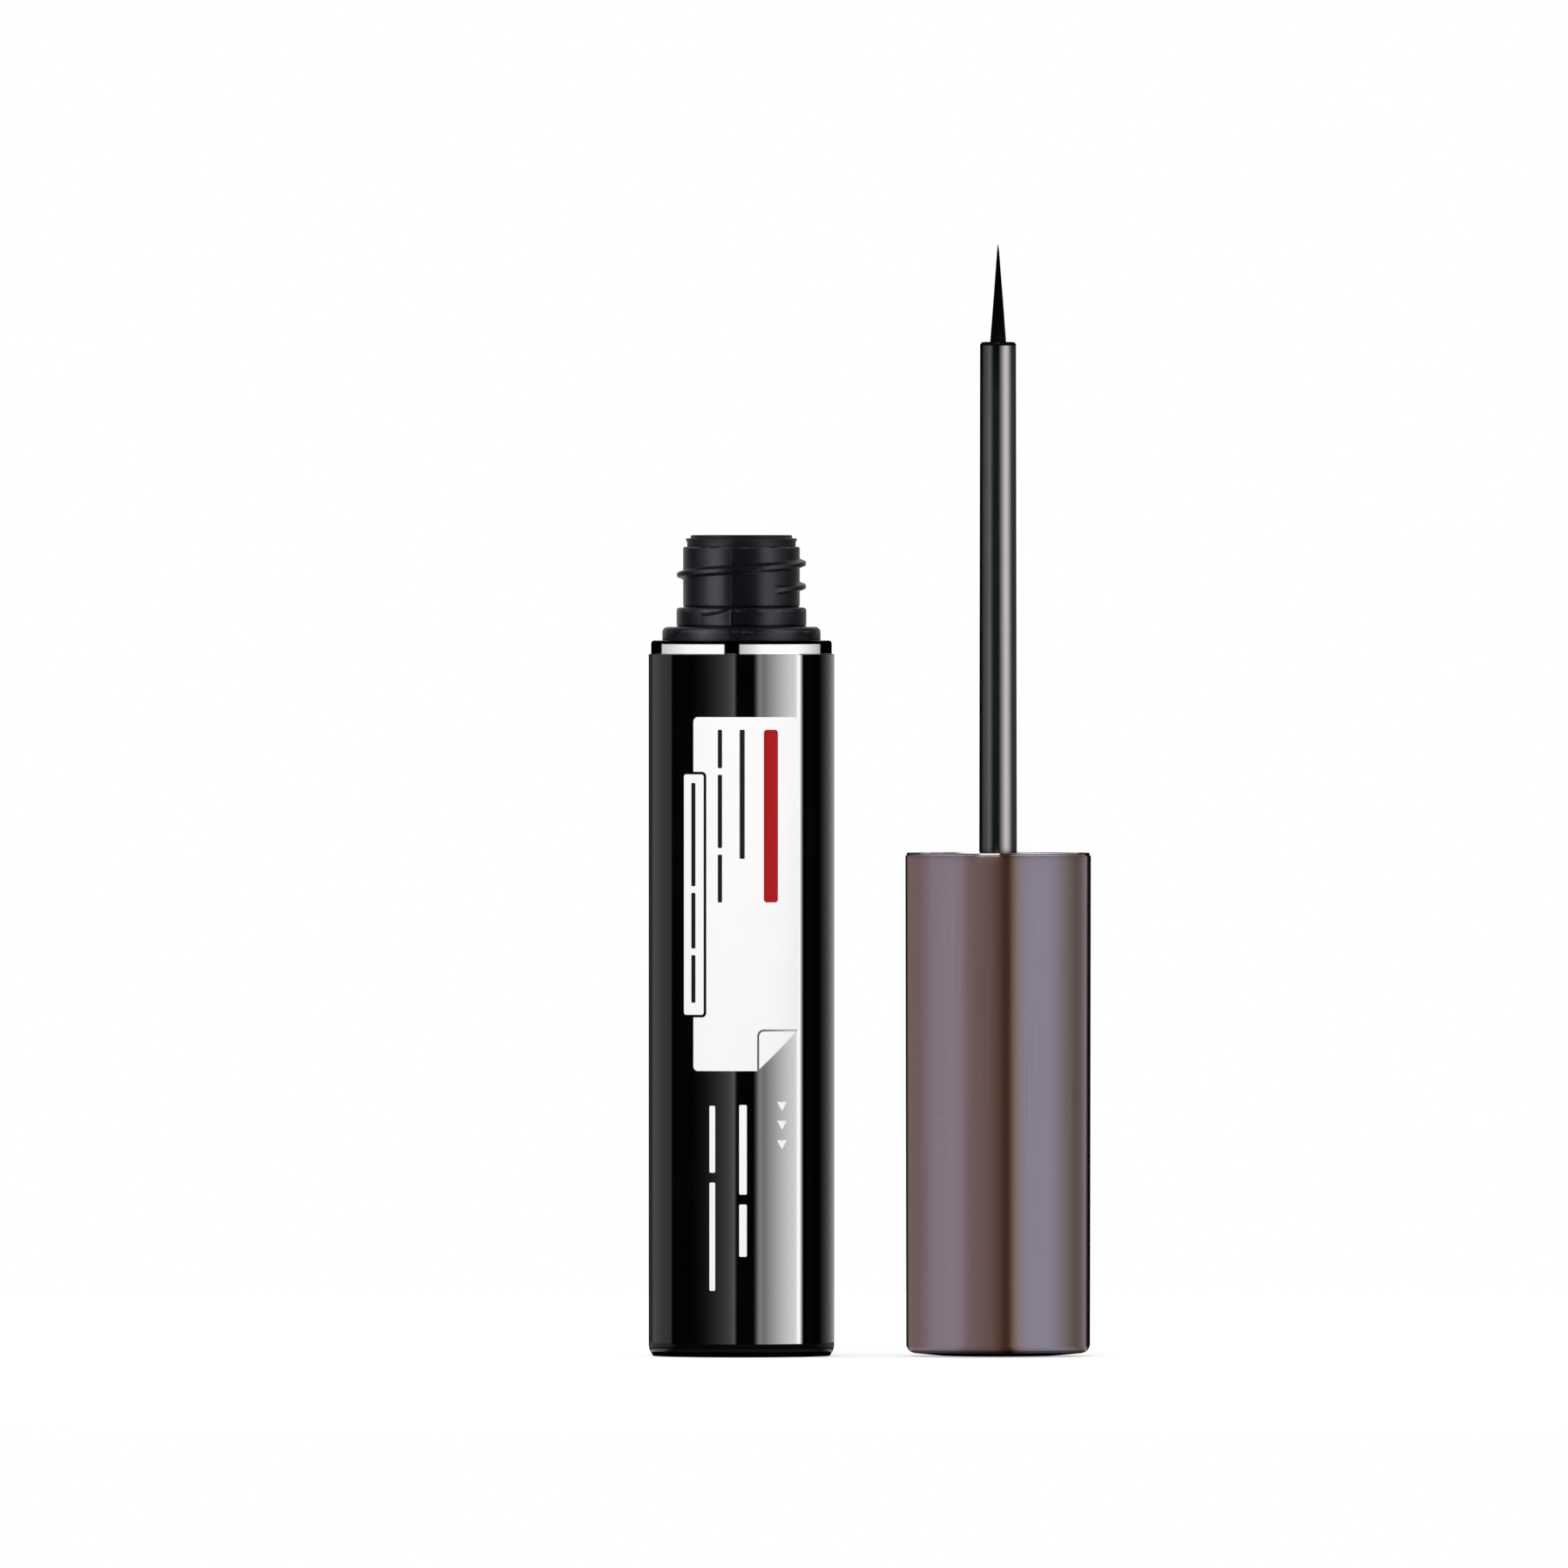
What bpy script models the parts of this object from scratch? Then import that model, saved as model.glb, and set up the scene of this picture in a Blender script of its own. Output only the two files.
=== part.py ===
"""A liquid eyeliner, opened: the bottle stands upright and its cap stands upside down beside it, wand up.

Metres, +Z up. The origin is the centre of the bottle's flat base, and the cap stands at +X.
The bottle is a glossy sleeve round an inner bottle, whose threaded neck holds the wiper.
The cap is a metal shell round a threaded inner cap, which holds the gasket, the stem and its brush.
"""

import math

import bmesh
import bpy
from mathutils import Vector

MM = 0.001

# Clearances
SEAT_GAP = 0.05 * MM  # between faces that rest on each other
FIT_GAP = 0.10 * MM  # on the radius, between pieces pushed into each other
CLOSED_GAP = 0.10 * MM  # between the cap's rim and the bottle's collar, cap screwed home
THREAD_GAP = 0.15 * MM  # on the radius, between the neck's thread and the inner cap's wall
OVERRUN = 0.20 * MM  # how far a joined shape is sunk into the wall that carries it

# Facets round one full turn
WIDE_STEPS = 48  # sleeve, shell and what nests in them
BORE_STEPS = 40  # inner cap, wiper and gasket
SLIM_STEPS = 24  # stem and ferrule
ARC_STEPS = 3  # along one rounded corner

# Bottle sleeve
BODY_DIAMETER = 17.0 * MM
SLEEVE_HEIGHT = 64.3 * MM
SLEEVE_WALL = 0.80 * MM
SLEEVE_FLOOR = 1.00 * MM
FOOT_RADIUS = 1.60 * MM  # curve under the sleeve's foot
FOOT_RISE = 1.10 * MM  # height at which that curve leaves the wall
RIM_BREAK = 0.12 * MM  # small edge break on rims

# Snap beads that hold the inner bottle in the sleeve and the inner cap in the shell
SNAP_HEIGHT = 0.15 * MM
SNAP_WIDTH = 1.20 * MM
SLEEVE_SNAP_DEPTH = 3.0 * MM  # bead's centre below the sleeve's rim

# Collar ring between sleeve and neck
COLLAR_HEIGHT = 1.20 * MM
COLLAR_INSET = 0.22 * MM
COLLAR_BAND = 0.98 * MM  # radial width of the ring
COLLAR_ROUND = 0.28 * MM

# Inner bottle and its neck
VIAL_WALL = 1.00 * MM
VIAL_FLOOR = 1.20 * MM
VIAL_DISH = 0.35 * MM  # how far the floor falls to its middle
VIAL_CORNER = 1.20 * MM
SHOULDER_SLOPE = 2.80 * MM  # height of the cone from the reservoir up to the neck's bore
FLANGE_HEIGHT = 1.25 * MM  # above the collar
FLANGE_ROUND = 0.30 * MM
FLANGE_LEDGE = 1.30 * MM  # from the flange in to the ring above it
STEP_OVERHANG = 0.60 * MM  # ring below the thread, beyond the neck
STEP_HEIGHT = 1.78 * MM
STEP_ROUND = 0.45 * MM
NECK_WALL = 1.00 * MM
NECK_LENGTH = 5.56 * MM

# Screw thread, right-handed, one start
THREAD_PITCH = 2.11 * MM
THREAD_DEPTH = 0.57 * MM
THREAD_ROOT = 0.92 * MM  # width along the axis where the ridge meets the neck
THREAD_CREST = 0.28 * MM
THREAD_TURNS = 1.35
THREAD_START_DEG = -64.0  # low end of the ridge, seen from above, counted from +X
THREAD_START_DROP = 4.01 * MM  # low end of the ridge below the neck's rim
THREAD_FADE_DEG = 28.0  # run in which each end sinks into the neck
CAP_THREAD_DEPTH = 0.56 * MM
CAP_THREAD_TURNS = 1.60
STEPS_PER_TURN = 40

# Stop lug on the ring below the thread
LUG_DEPTH = 0.30 * MM
LUG_START_DEG = -129.0
LUG_SPAN_DEG = 30.0
LUG_LOW_SHARE = 0.60  # lug's height at its thin end, of the ring's height
LUG_HIGH_SHARE = 0.92
LUG_STEPS = 4

# Wiper in the neck's mouth
WIPER_DISC_INSET = 0.20 * MM
WIPER_DISC_HEIGHT = 0.36 * MM
WIPER_FOOT_INSET = 0.37 * MM  # straight foot under the flared disc
WIPER_FOOT_HEIGHT = 0.36 * MM
WIPER_LIP_INSET = 0.70 * MM
WIPER_LIP_HEIGHT = 0.30 * MM
WIPER_WALL = 0.72 * MM
WIPER_MOUTH_FLARE = 0.25 * MM
WIPER_PLUG_LENGTH = 10.0 * MM
WIPER_BEAD = 0.22 * MM  # bead that snaps under the neck's bore
WIPER_BEAD_WIDTH = 0.80 * MM
WIPER_CONE_LENGTH = 2.6 * MM
WIPER_NOZZLE_LENGTH = 1.5 * MM
WIPER_NOZZLE_WALL = 0.45 * MM
WIPER_CLEARANCE = 0.35 * MM  # on the radius, round the stem

# Mixing ball
BALL_DIAMETER = 4.5 * MM
BALL_SEGMENTS = 16
BALL_RINGS = 10

# Cap
CAP_SPACING = 23.52 * MM  # from the bottle's axis to the cap's
CAP_HEIGHT = 46.1 * MM
CAP_DRAFT = 0.08 * MM  # on the radius, from the rim to the closed end
SHELL_WALL = 0.70 * MM
SHELL_END = 1.10 * MM
LAND_INSET = 3.52 * MM  # from the wall in to the flat land that the cap stands on
CROWN_RISE = 0.34 * MM
CAP_CORNER = 0.85 * MM
RIM_RING_HEIGHT = 0.20 * MM  # what shows of the bright ring at the mouth
RIM_RING_INSET = 0.12 * MM
RIM_RING_WALL = 0.30 * MM
RIM_RING_DEPTH = 1.20 * MM

# Inner cap, depths counted from the cap's rim into the cap
INNER_CAP_DEPTH = 1.60 * MM
INNER_CAP_LENGTH = 22.0 * MM
INNER_CAP_WALL = 0.80 * MM  # skirt past the web
RIB_COUNT = 8
RIB_HEIGHT = 0.38 * MM
RIB_WIDTH = 0.80 * MM
RIB_DEPTH = 6.6 * MM  # where the ribs start, below the mouth of the inner cap
MOUTH_CLEARANCE = 0.42 * MM  # on the radius, round the neck's ring
MOUTH_LENGTH = 2.2 * MM
CAP_SNAP_DEPTH = 4.2 * MM
GASKET_THICKNESS = 1.00 * MM
GASKET_INSET = 0.25 * MM
WEB_THICKNESS = 1.20 * MM
BOSS_LENGTH = 10.4 * MM
BOSS_WALL = 1.15 * MM

# Wand stem
STEM_DIAMETER = 3.48 * MM  # at the cap
STEM_TAPER = 0.08 * MM  # on the radius, from the cap's rim to the brush
STEM_REACH = 46.8 * MM  # beyond the cap's rim
STEM_ROUND = 0.34 * MM
STEM_TAIL = 9.8 * MM  # in the boss
STEM_TAIL_BREAK = 0.30 * MM
STEM_COLLAR_OVERHANG = 0.86 * MM
STEM_COLLAR_HEIGHT = 0.80 * MM
STEM_BEAD = 0.18 * MM
STEM_BEAD_WIDTH = 0.90 * MM
STEM_BEAD_DEPTH = 2.0 * MM  # bead's centre above the tail's end
SOCKET_DEPTH = 4.0 * MM

# Brush
FERRULE_WALL = 0.14 * MM
FERRULE_LENGTH = 3.6 * MM
FERRULE_INSET = 0.15 * MM
TUFT_DIAMETER = 1.46 * MM
TUFT_ROOT = 2.8 * MM  # fused root in the ferrule
TUFT_REACH = 8.92 * MM  # beyond the stem's end
TUFT_TIP_DIAMETER = 0.15 * MM
STRAND_RINGS = 8  # rings of triangular cells in the tuft, so 6 x rings x rings strands
STRAND_GAP = 0.011 * MM
STRAND_TIP_SHARE = 0.55  # strand's width at its tip, beyond the tuft's own taper
SHORT_STRAND_SHARE = 0.20  # how much shorter the shortest outer strands are
GOLDEN_SHARE = 0.6180339887  # spreads the strands' lengths evenly
HEXAGON_SIDES = 6

# Worked-out radii
BODY_RADIUS = BODY_DIAMETER / 2
SLEEVE_BORE = BODY_RADIUS - SLEEVE_WALL
VIAL_RADIUS = SLEEVE_BORE - FIT_GAP
COLLAR_RADIUS = BODY_RADIUS - COLLAR_INSET
COLLAR_BORE = COLLAR_RADIUS - COLLAR_BAND
FLANGE_RADIUS = COLLAR_BORE - SEAT_GAP
STEP_RADIUS = FLANGE_RADIUS - FLANGE_LEDGE
NECK_RADIUS = STEP_RADIUS - STEP_OVERHANG
NECK_BORE = NECK_RADIUS - NECK_WALL
STEM_RADIUS = STEM_DIAMETER / 2
STEM_END_RADIUS = STEM_RADIUS - STEM_TAPER
SHELL_BORE = BODY_RADIUS - SHELL_WALL
CAP_END_RADIUS = BODY_RADIUS - CAP_DRAFT
TUFT_RADIUS = TUFT_DIAMETER / 2
FERRULE_BORE = TUFT_RADIUS + SEAT_GAP
FERRULE_RADIUS = FERRULE_BORE + FERRULE_WALL
WIPER_NOZZLE_BORE = STEM_RADIUS + WIPER_CLEARANCE
CAP_THREAD_WALL = NECK_RADIUS + THREAD_DEPTH + THREAD_GAP

# Worked-out heights above the base
VIAL_BASE = SLEEVE_FLOOR + SEAT_GAP
VIAL_FLOOR_TOP = VIAL_BASE + VIAL_FLOOR
COLLAR_BASE = SLEEVE_HEIGHT + SEAT_GAP
COLLAR_TOP = COLLAR_BASE + COLLAR_HEIGHT
FLANGE_TOP = COLLAR_TOP + FLANGE_HEIGHT
STEP_TOP = FLANGE_TOP + STEP_HEIGHT
NECK_TOP = STEP_TOP + NECK_LENGTH
WIPER_FOOT = NECK_TOP + SEAT_GAP
WIPER_DISC_BASE = WIPER_FOOT + WIPER_FOOT_HEIGHT
WIPER_DISC_TOP = WIPER_DISC_BASE + WIPER_DISC_HEIGHT
WIPER_TOP = WIPER_DISC_TOP + WIPER_LIP_HEIGHT
SHOULDER_TOP = FLANGE_TOP - VIAL_WALL

# Worked-out depths below the cap's rim, measured on the closed bottle
GASKET_FACE_DEPTH = WIPER_TOP - COLLAR_TOP - CLOSED_GAP + SEAT_GAP
WEB_DEPTH = GASKET_FACE_DEPTH + GASKET_THICKNESS + SEAT_GAP


def rounded(corners, closed=False):
    """Outline points (radius, height) from corners (radius, height, fillet), each fillet becoming an arc.

    The arc's tangents are kept inside half of each neighbouring side, so a wide fillet stays in its wall.
    """
    points = []
    count = len(corners)
    for i, corner in enumerate(corners):
        here = Vector(corner[:2])
        fillet = corner[2] if len(corner) > 2 else 0
        at_an_end = not closed and i in (0, count - 1)
        if not fillet or at_an_end:
            points.append(tuple(here))
            continue
        to_before = Vector(corners[i - 1][:2]) - here
        to_after = Vector(corners[(i + 1) % count][:2]) - here
        half_angle = to_before.angle(to_after) / 2
        tangent = min(fillet / math.tan(half_angle), to_before.length / 2, to_after.length / 2)
        start = here + to_before.normalized() * tangent
        end = here + to_after.normalized() * tangent
        radius = tangent * math.tan(half_angle)
        inwards = (to_before.normalized() + to_after.normalized()).normalized()
        centre = here + inwards * math.hypot(radius, tangent)
        sweep = (start - centre).angle_signed(end - centre)
        for step in range(ARC_STEPS + 1):
            turn = -sweep * step / ARC_STEPS
            spoke = start - centre
            points.append(
                (
                    centre.x + spoke.x * math.cos(turn) - spoke.y * math.sin(turn),
                    centre.y + spoke.x * math.sin(turn) + spoke.y * math.cos(turn),
                )
            )
    return points


def bead(radius, height, proud, width, upwards=False):
    """Four corners of a bead or groove on a wall, top to bottom, or bottom to top if upwards."""
    corners = [
        (radius, height + width / 2),
        (radius + proud, height + width / 6),
        (radius + proud, height - width / 6),
        (radius, height - width / 2),
    ]
    return corners[::-1] if upwards else corners


def material(name, colour, roughness, metallic=0.0):
    """A Principled BSDF of one colour, made once for each name."""
    made = bpy.data.materials.new(name)
    made.use_nodes = True
    shader = made.node_tree.nodes["Principled BSDF"]
    shader.inputs["Base Color"].default_value = (*colour, 1.0)
    shader.inputs["Roughness"].default_value = roughness
    shader.inputs["Metallic"].default_value = metallic
    made.diffuse_color = (*colour, 1.0)
    return made


def linked(name, mesh, collection, parent=None):
    """A new object of this mesh in the collection, carried by the parent empty."""
    made = bpy.data.objects.new(name, mesh)
    collection.objects.link(made)
    made.parent = parent
    return made


def turned(name, outline, steps, closed=False):
    """Mesh of an outline (radius, height) turned about Z. The outline runs down its outer side."""
    wire = bpy.data.meshes.new(name)
    corners = [(radius, 0, height) for radius, height in outline]
    edges = [(i, i + 1) for i in range(len(corners) - 1)]
    if closed:
        edges.append((len(corners) - 1, 0))
    wire.from_pydata(corners, edges, [])
    spun = bpy.data.objects.new(name, wire)
    bpy.context.scene.collection.objects.link(spun)
    screw = spun.modifiers.new("Turn", "SCREW")
    screw.steps = steps
    screw.render_steps = steps
    screw.use_merge_vertices = True
    screw.merge_threshold = 0.01 * SEAT_GAP
    return solid_mesh(spun)


def solid_mesh(source):
    """The evaluated mesh of an object, which is then removed."""
    bpy.context.view_layer.update()
    graph = bpy.context.evaluated_depsgraph_get()
    mesh = bpy.data.meshes.new_from_object(source.evaluated_get(graph))
    name = source.name
    bpy.data.objects.remove(source)
    mesh.name = name
    return mesh


def joined(base, additions, name):
    """Mesh of the base with the additions united to it by exact Booleans."""
    carrier = bpy.data.objects.new(name, base)
    bpy.context.scene.collection.objects.link(carrier)
    helpers = []
    for addition in additions:
        helper = bpy.data.objects.new("joined shape", addition)
        bpy.context.scene.collection.objects.link(helper)
        helper.hide_render = True
        helper.display_type = "WIRE"
        union = carrier.modifiers.new("Join", "BOOLEAN")
        union.operation = "UNION"
        union.solver = "EXACT"
        union.object = helper
        helpers.append(helper)
    mesh = solid_mesh(carrier)
    for helper in helpers:
        bpy.data.objects.remove(helper)
    return mesh


def smooth(mesh, paint, sharp_deg=30.0):
    """Smooth shading with sharp edges, and the piece's material."""
    mesh.shade_smooth()
    mesh.set_sharp_from_angle(angle=math.radians(sharp_deg))
    mesh.materials.clear()
    mesh.materials.append(paint)
    return mesh


def turned_about(corner, turn, lift):
    """Turns a corner about Z by the angle and lifts it."""
    x, y, z = corner.co
    corner.co = (
        x * math.cos(turn) - y * math.sin(turn),
        x * math.sin(turn) + y * math.cos(turn),
        z + lift,
    )


def swept_ridge(section, span, rise, steps, reshape):
    """A closed section (radius, height) swept by the angle span about Z while it rises, then reshaped.

    reshape(radius, height, share) gives a corner's new radius and height. The share runs from 0 to 1.
    """
    shape = bmesh.new()
    corners = [shape.verts.new((radius, 0, height)) for radius, height in section]
    face = shape.faces.new(corners)
    bmesh.ops.spin(
        shape,
        geom=[face, *face.edges, *corners],
        cent=(0, 0, 0),
        axis=(0, 0, 1),
        dvec=(0, 0, rise / steps),
        angle=span,
        steps=steps,
        use_merge=False,
        use_duplicate=False,
    )
    shape.verts.ensure_lookup_table()
    for index, corner in enumerate(shape.verts):
        share = (index // len(section)) / steps
        radius = math.hypot(corner.co.x, corner.co.y)
        new_radius, new_height = reshape(radius, corner.co.z - rise * share, share)
        corner.co.x *= new_radius / radius
        corner.co.y *= new_radius / radius
        corner.co.z = new_height + rise * share
    bmesh.ops.recalc_face_normals(shape, faces=shape.faces)
    mesh = bpy.data.meshes.new("ridge")
    shape.to_mesh(mesh)
    shape.free()
    return mesh


def thread(wall_radius, depth, turns, start_deg, start_height, inwards=False):
    """A screw ridge on a wall: a trapezium swept up a helix, both ends sinking into the wall."""
    side = -1 if inwards else 1
    section = [
        (wall_radius - side * OVERRUN, -THREAD_ROOT / 2),
        (wall_radius, -THREAD_ROOT / 2),
        (wall_radius + side * depth, -THREAD_CREST / 2),
        (wall_radius + side * depth, THREAD_CREST / 2),
        (wall_radius, THREAD_ROOT / 2),
        (wall_radius - side * OVERRUN, THREAD_ROOT / 2),
    ]
    fade_share = THREAD_FADE_DEG / (360 * turns)

    def sink_ends(radius, height, share):
        proud = (radius - wall_radius) * side
        if proud < depth / 2:
            return radius, height
        ramp = min(share, 1 - share) / fade_share
        kept = min(1, ramp) * (depth + OVERRUN / 2) - OVERRUN / 2
        return wall_radius + side * kept, height

    ridge = swept_ridge(
        section, 2 * math.pi * turns, THREAD_PITCH * turns, round(STEPS_PER_TURN * turns), sink_ends
    )
    for corner in ridge.vertices:
        turned_about(corner, math.radians(start_deg), start_height)
    return ridge


def stop_lug():
    """A ramp on the ring below the thread: it thickens and rises along its run, then drops off square."""
    section = [
        (STEP_RADIUS - OVERRUN, 0),
        (STEP_RADIUS + LUG_DEPTH, 0),
        (STEP_RADIUS + LUG_DEPTH, STEP_HEIGHT),
        (STEP_RADIUS - OVERRUN, STEP_HEIGHT),
    ]

    def ramp(radius, height, share):
        proud = -OVERRUN / 4 + (LUG_DEPTH + OVERRUN / 4) * share
        new_radius = STEP_RADIUS + proud if radius > STEP_RADIUS else radius
        top_share = LUG_LOW_SHARE + (LUG_HIGH_SHARE - LUG_LOW_SHARE) * share
        return new_radius, height * top_share if height > 0 else -OVERRUN

    lug = swept_ridge(section, math.radians(LUG_SPAN_DEG), 0, LUG_STEPS, ramp)
    for corner in lug.vertices:
        turned_about(corner, math.radians(LUG_START_DEG), FLANGE_TOP)
    return lug


def bottle_sleeve():
    """Glossy outer cup: straight wall, curved foot, flat base, and a groove for the inner bottle's bead."""
    foot = []
    for step in range(ARC_STEPS + 1):
        angle = math.asin(FOOT_RISE / FOOT_RADIUS) * step / ARC_STEPS
        inset = FOOT_RADIUS * (1 - math.cos(angle))
        foot.append((BODY_RADIUS - inset, FOOT_RISE - FOOT_RADIUS * math.sin(angle)))
    groove_height = SLEEVE_HEIGHT - SLEEVE_SNAP_DEPTH
    outline = [
        (0, SLEEVE_FLOOR),
        (SLEEVE_BORE, SLEEVE_FLOOR),
        *bead(SLEEVE_BORE, groove_height, SNAP_HEIGHT, SNAP_WIDTH, upwards=True),
        (SLEEVE_BORE, SLEEVE_HEIGHT),
        (BODY_RADIUS - RIM_BREAK, SLEEVE_HEIGHT),
        (BODY_RADIUS, SLEEVE_HEIGHT - RIM_BREAK),
        *foot,
        (0, 0),
    ]
    return turned("bottle_sleeve", outline, WIDE_STEPS)


def inner_bottle():
    """Moulded reservoir with its stepped, threaded neck."""
    reservoir = VIAL_RADIUS - VIAL_WALL
    bead_height = SLEEVE_HEIGHT - SLEEVE_SNAP_DEPTH
    outline = rounded(
        [
            (0, VIAL_FLOOR_TOP),
            (reservoir, VIAL_FLOOR_TOP + VIAL_DISH, VIAL_CORNER),
            (reservoir, SHOULDER_TOP - SHOULDER_SLOPE),
            (NECK_BORE, SHOULDER_TOP),
            (NECK_BORE, NECK_TOP),
            (NECK_RADIUS - RIM_BREAK, NECK_TOP),
            (NECK_RADIUS, NECK_TOP - RIM_BREAK),
            (NECK_RADIUS, STEP_TOP),
            (STEP_RADIUS, STEP_TOP, STEP_ROUND),
            (STEP_RADIUS, FLANGE_TOP),
            (FLANGE_RADIUS, FLANGE_TOP, FLANGE_ROUND),
            (FLANGE_RADIUS, SLEEVE_HEIGHT),
            (VIAL_RADIUS, SLEEVE_HEIGHT),
            *bead(VIAL_RADIUS, bead_height, SNAP_HEIGHT, SNAP_WIDTH),
            (VIAL_RADIUS, VIAL_BASE, VIAL_CORNER),
            (0, VIAL_BASE),
        ]
    )
    body = turned("inner_bottle", outline, WIDE_STEPS)
    ridge = thread(
        NECK_RADIUS, THREAD_DEPTH, THREAD_TURNS, THREAD_START_DEG, NECK_TOP - THREAD_START_DROP
    )
    return joined(body, [ridge, stop_lug()], "inner_bottle")


def collar_ring():
    """Bright ring that sits on the sleeve's rim and the inner bottle's shoulder."""
    outline = rounded(
        [
            (COLLAR_BORE, COLLAR_TOP),
            (COLLAR_RADIUS, COLLAR_TOP, COLLAR_ROUND),
            (COLLAR_RADIUS, COLLAR_BASE),
            (COLLAR_BORE, COLLAR_BASE),
        ],
        closed=True,
    )
    return turned("collar_ring", outline, WIDE_STEPS, closed=True)


def wiper():
    """Soft plug in the neck: a disc on the rim, a tube in the bore, and a cone down to the stem's nozzle."""
    plug = NECK_BORE - SEAT_GAP
    plug_bore = plug - WIPER_WALL
    plug_end = WIPER_FOOT - WIPER_PLUG_LENGTH
    cone_end = plug_end - WIPER_CONE_LENGTH
    nozzle_end = cone_end - WIPER_NOZZLE_LENGTH
    nozzle = WIPER_NOZZLE_BORE + WIPER_NOZZLE_WALL
    bead_height = SHOULDER_TOP - WIPER_BEAD_WIDTH / 2
    outline = [
        (plug_bore, plug_end),
        (plug_bore, WIPER_DISC_BASE),
        (plug_bore + WIPER_MOUTH_FLARE, WIPER_TOP),
        (NECK_RADIUS - WIPER_LIP_INSET, WIPER_TOP),
        (NECK_RADIUS - WIPER_LIP_INSET, WIPER_DISC_TOP),
        (NECK_RADIUS - WIPER_DISC_INSET, WIPER_DISC_TOP),
        (NECK_RADIUS - WIPER_FOOT_INSET, WIPER_DISC_BASE),
        (NECK_RADIUS - WIPER_FOOT_INSET, WIPER_FOOT),
        (plug, WIPER_FOOT),
        *bead(plug, bead_height, WIPER_BEAD, WIPER_BEAD_WIDTH),
        (plug, plug_end),
        (nozzle, cone_end),
        (nozzle, nozzle_end),
        (WIPER_NOZZLE_BORE, nozzle_end),
        (WIPER_NOZZLE_BORE, cone_end),
    ]
    return turned("wiper", outline, BORE_STEPS, closed=True)


def cap_shell():
    """Outer cup of the cap, mouth up: crowned end with a flat land, and a groove for the inner cap."""
    rim = CAP_HEIGHT - RIM_RING_HEIGHT - SEAT_GAP
    outline = rounded(
        [
            (0, SHELL_END),
            (SHELL_BORE, SHELL_END, CAP_CORNER),
            *bead(SHELL_BORE, CAP_HEIGHT - CAP_SNAP_DEPTH, SNAP_HEIGHT, SNAP_WIDTH, upwards=True),
            (SHELL_BORE, rim),
            (BODY_RADIUS - RIM_BREAK, rim),
            (BODY_RADIUS, rim - RIM_BREAK),
            (CAP_END_RADIUS, CROWN_RISE, CAP_CORNER),
            (CAP_END_RADIUS - LAND_INSET, 0),
            (0, 0),
        ]
    )
    return turned("cap_shell", outline, WIDE_STEPS)


def cap_rim_ring():
    """Bright ring that closes the shell's mouth: a thin lip on the rim and a spigot inside it."""
    spigot = SHELL_BORE - SEAT_GAP
    bore = spigot - RIM_RING_WALL
    lip_base = CAP_HEIGHT - RIM_RING_HEIGHT
    outline = [
        (bore, CAP_HEIGHT),
        (BODY_RADIUS - RIM_RING_INSET, CAP_HEIGHT),
        (BODY_RADIUS - RIM_RING_INSET, lip_base),
        (spigot, lip_base),
        (spigot, lip_base - RIM_RING_DEPTH),
        (bore, lip_base - RIM_RING_DEPTH),
    ]
    return turned("cap_rim_ring", outline, WIDE_STEPS, closed=True)


def inner_cap():
    """Threaded inner cap, mouth up: thread bore, web, boss for the stem, and a ribbed skirt."""
    mouth = CAP_HEIGHT - INNER_CAP_DEPTH
    foot = mouth - INNER_CAP_LENGTH
    core = SHELL_BORE - FIT_GAP - RIB_HEIGHT
    mouth_bore = STEP_RADIUS + MOUTH_CLEARANCE
    web_top = CAP_HEIGHT - WEB_DEPTH
    web_base = web_top - WEB_THICKNESS
    boss_bore = STEM_RADIUS + FIT_GAP
    boss_end = web_base - BOSS_LENGTH
    bead_height = web_top - WEB_THICKNESS - STEM_TAIL + STEM_BEAD_DEPTH
    outline = [
        (mouth_bore, mouth),
        (core, mouth),
        *bead(core, CAP_HEIGHT - CAP_SNAP_DEPTH, RIB_HEIGHT + SNAP_HEIGHT, SNAP_WIDTH),
        (core, foot),
        (core - INNER_CAP_WALL, foot),
        (core - INNER_CAP_WALL, web_base),
        (boss_bore + BOSS_WALL, web_base),
        (boss_bore + BOSS_WALL, boss_end),
        (boss_bore, boss_end),
        *bead(boss_bore, bead_height, STEM_BEAD, STEM_BEAD_WIDTH, upwards=True),
        (boss_bore, web_top),
        (CAP_THREAD_WALL, web_top),
        (CAP_THREAD_WALL, mouth - MOUTH_LENGTH),
        (mouth_bore, mouth - MOUTH_LENGTH + MOUTH_CLEARANCE),
    ]
    body = turned("inner_cap", outline, BORE_STEPS, closed=True)
    low_end = mouth - MOUTH_LENGTH - THREAD_ROOT / 2 - THREAD_PITCH * CAP_THREAD_TURNS
    ridge = thread(CAP_THREAD_WALL, CAP_THREAD_DEPTH, CAP_THREAD_TURNS, 0.0, low_end, inwards=True)
    return joined(body, [ridge, ribs(core, foot, mouth - RIB_DEPTH)], "inner_cap")


def ribs(core, low, high):
    """Ribs along the inner cap's skirt, each a slim box sunk into the skirt."""
    shape = bmesh.new()
    for index in range(RIB_COUNT):
        made = bmesh.ops.create_cube(shape, size=1)["verts"]
        bmesh.ops.scale(shape, verts=made, vec=(RIB_HEIGHT + OVERRUN, RIB_WIDTH, high - low - OVERRUN))
        centre = (core + (RIB_HEIGHT - OVERRUN) / 2, 0, (high + low + OVERRUN) / 2)
        bmesh.ops.translate(shape, verts=made, vec=centre)
        turn = 2 * math.pi * (index + 1 / 2) / RIB_COUNT
        for corner in made:
            turned_about(corner, turn, 0)
    mesh = bpy.data.meshes.new("ribs")
    shape.to_mesh(mesh)
    shape.free()
    return mesh


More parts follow.
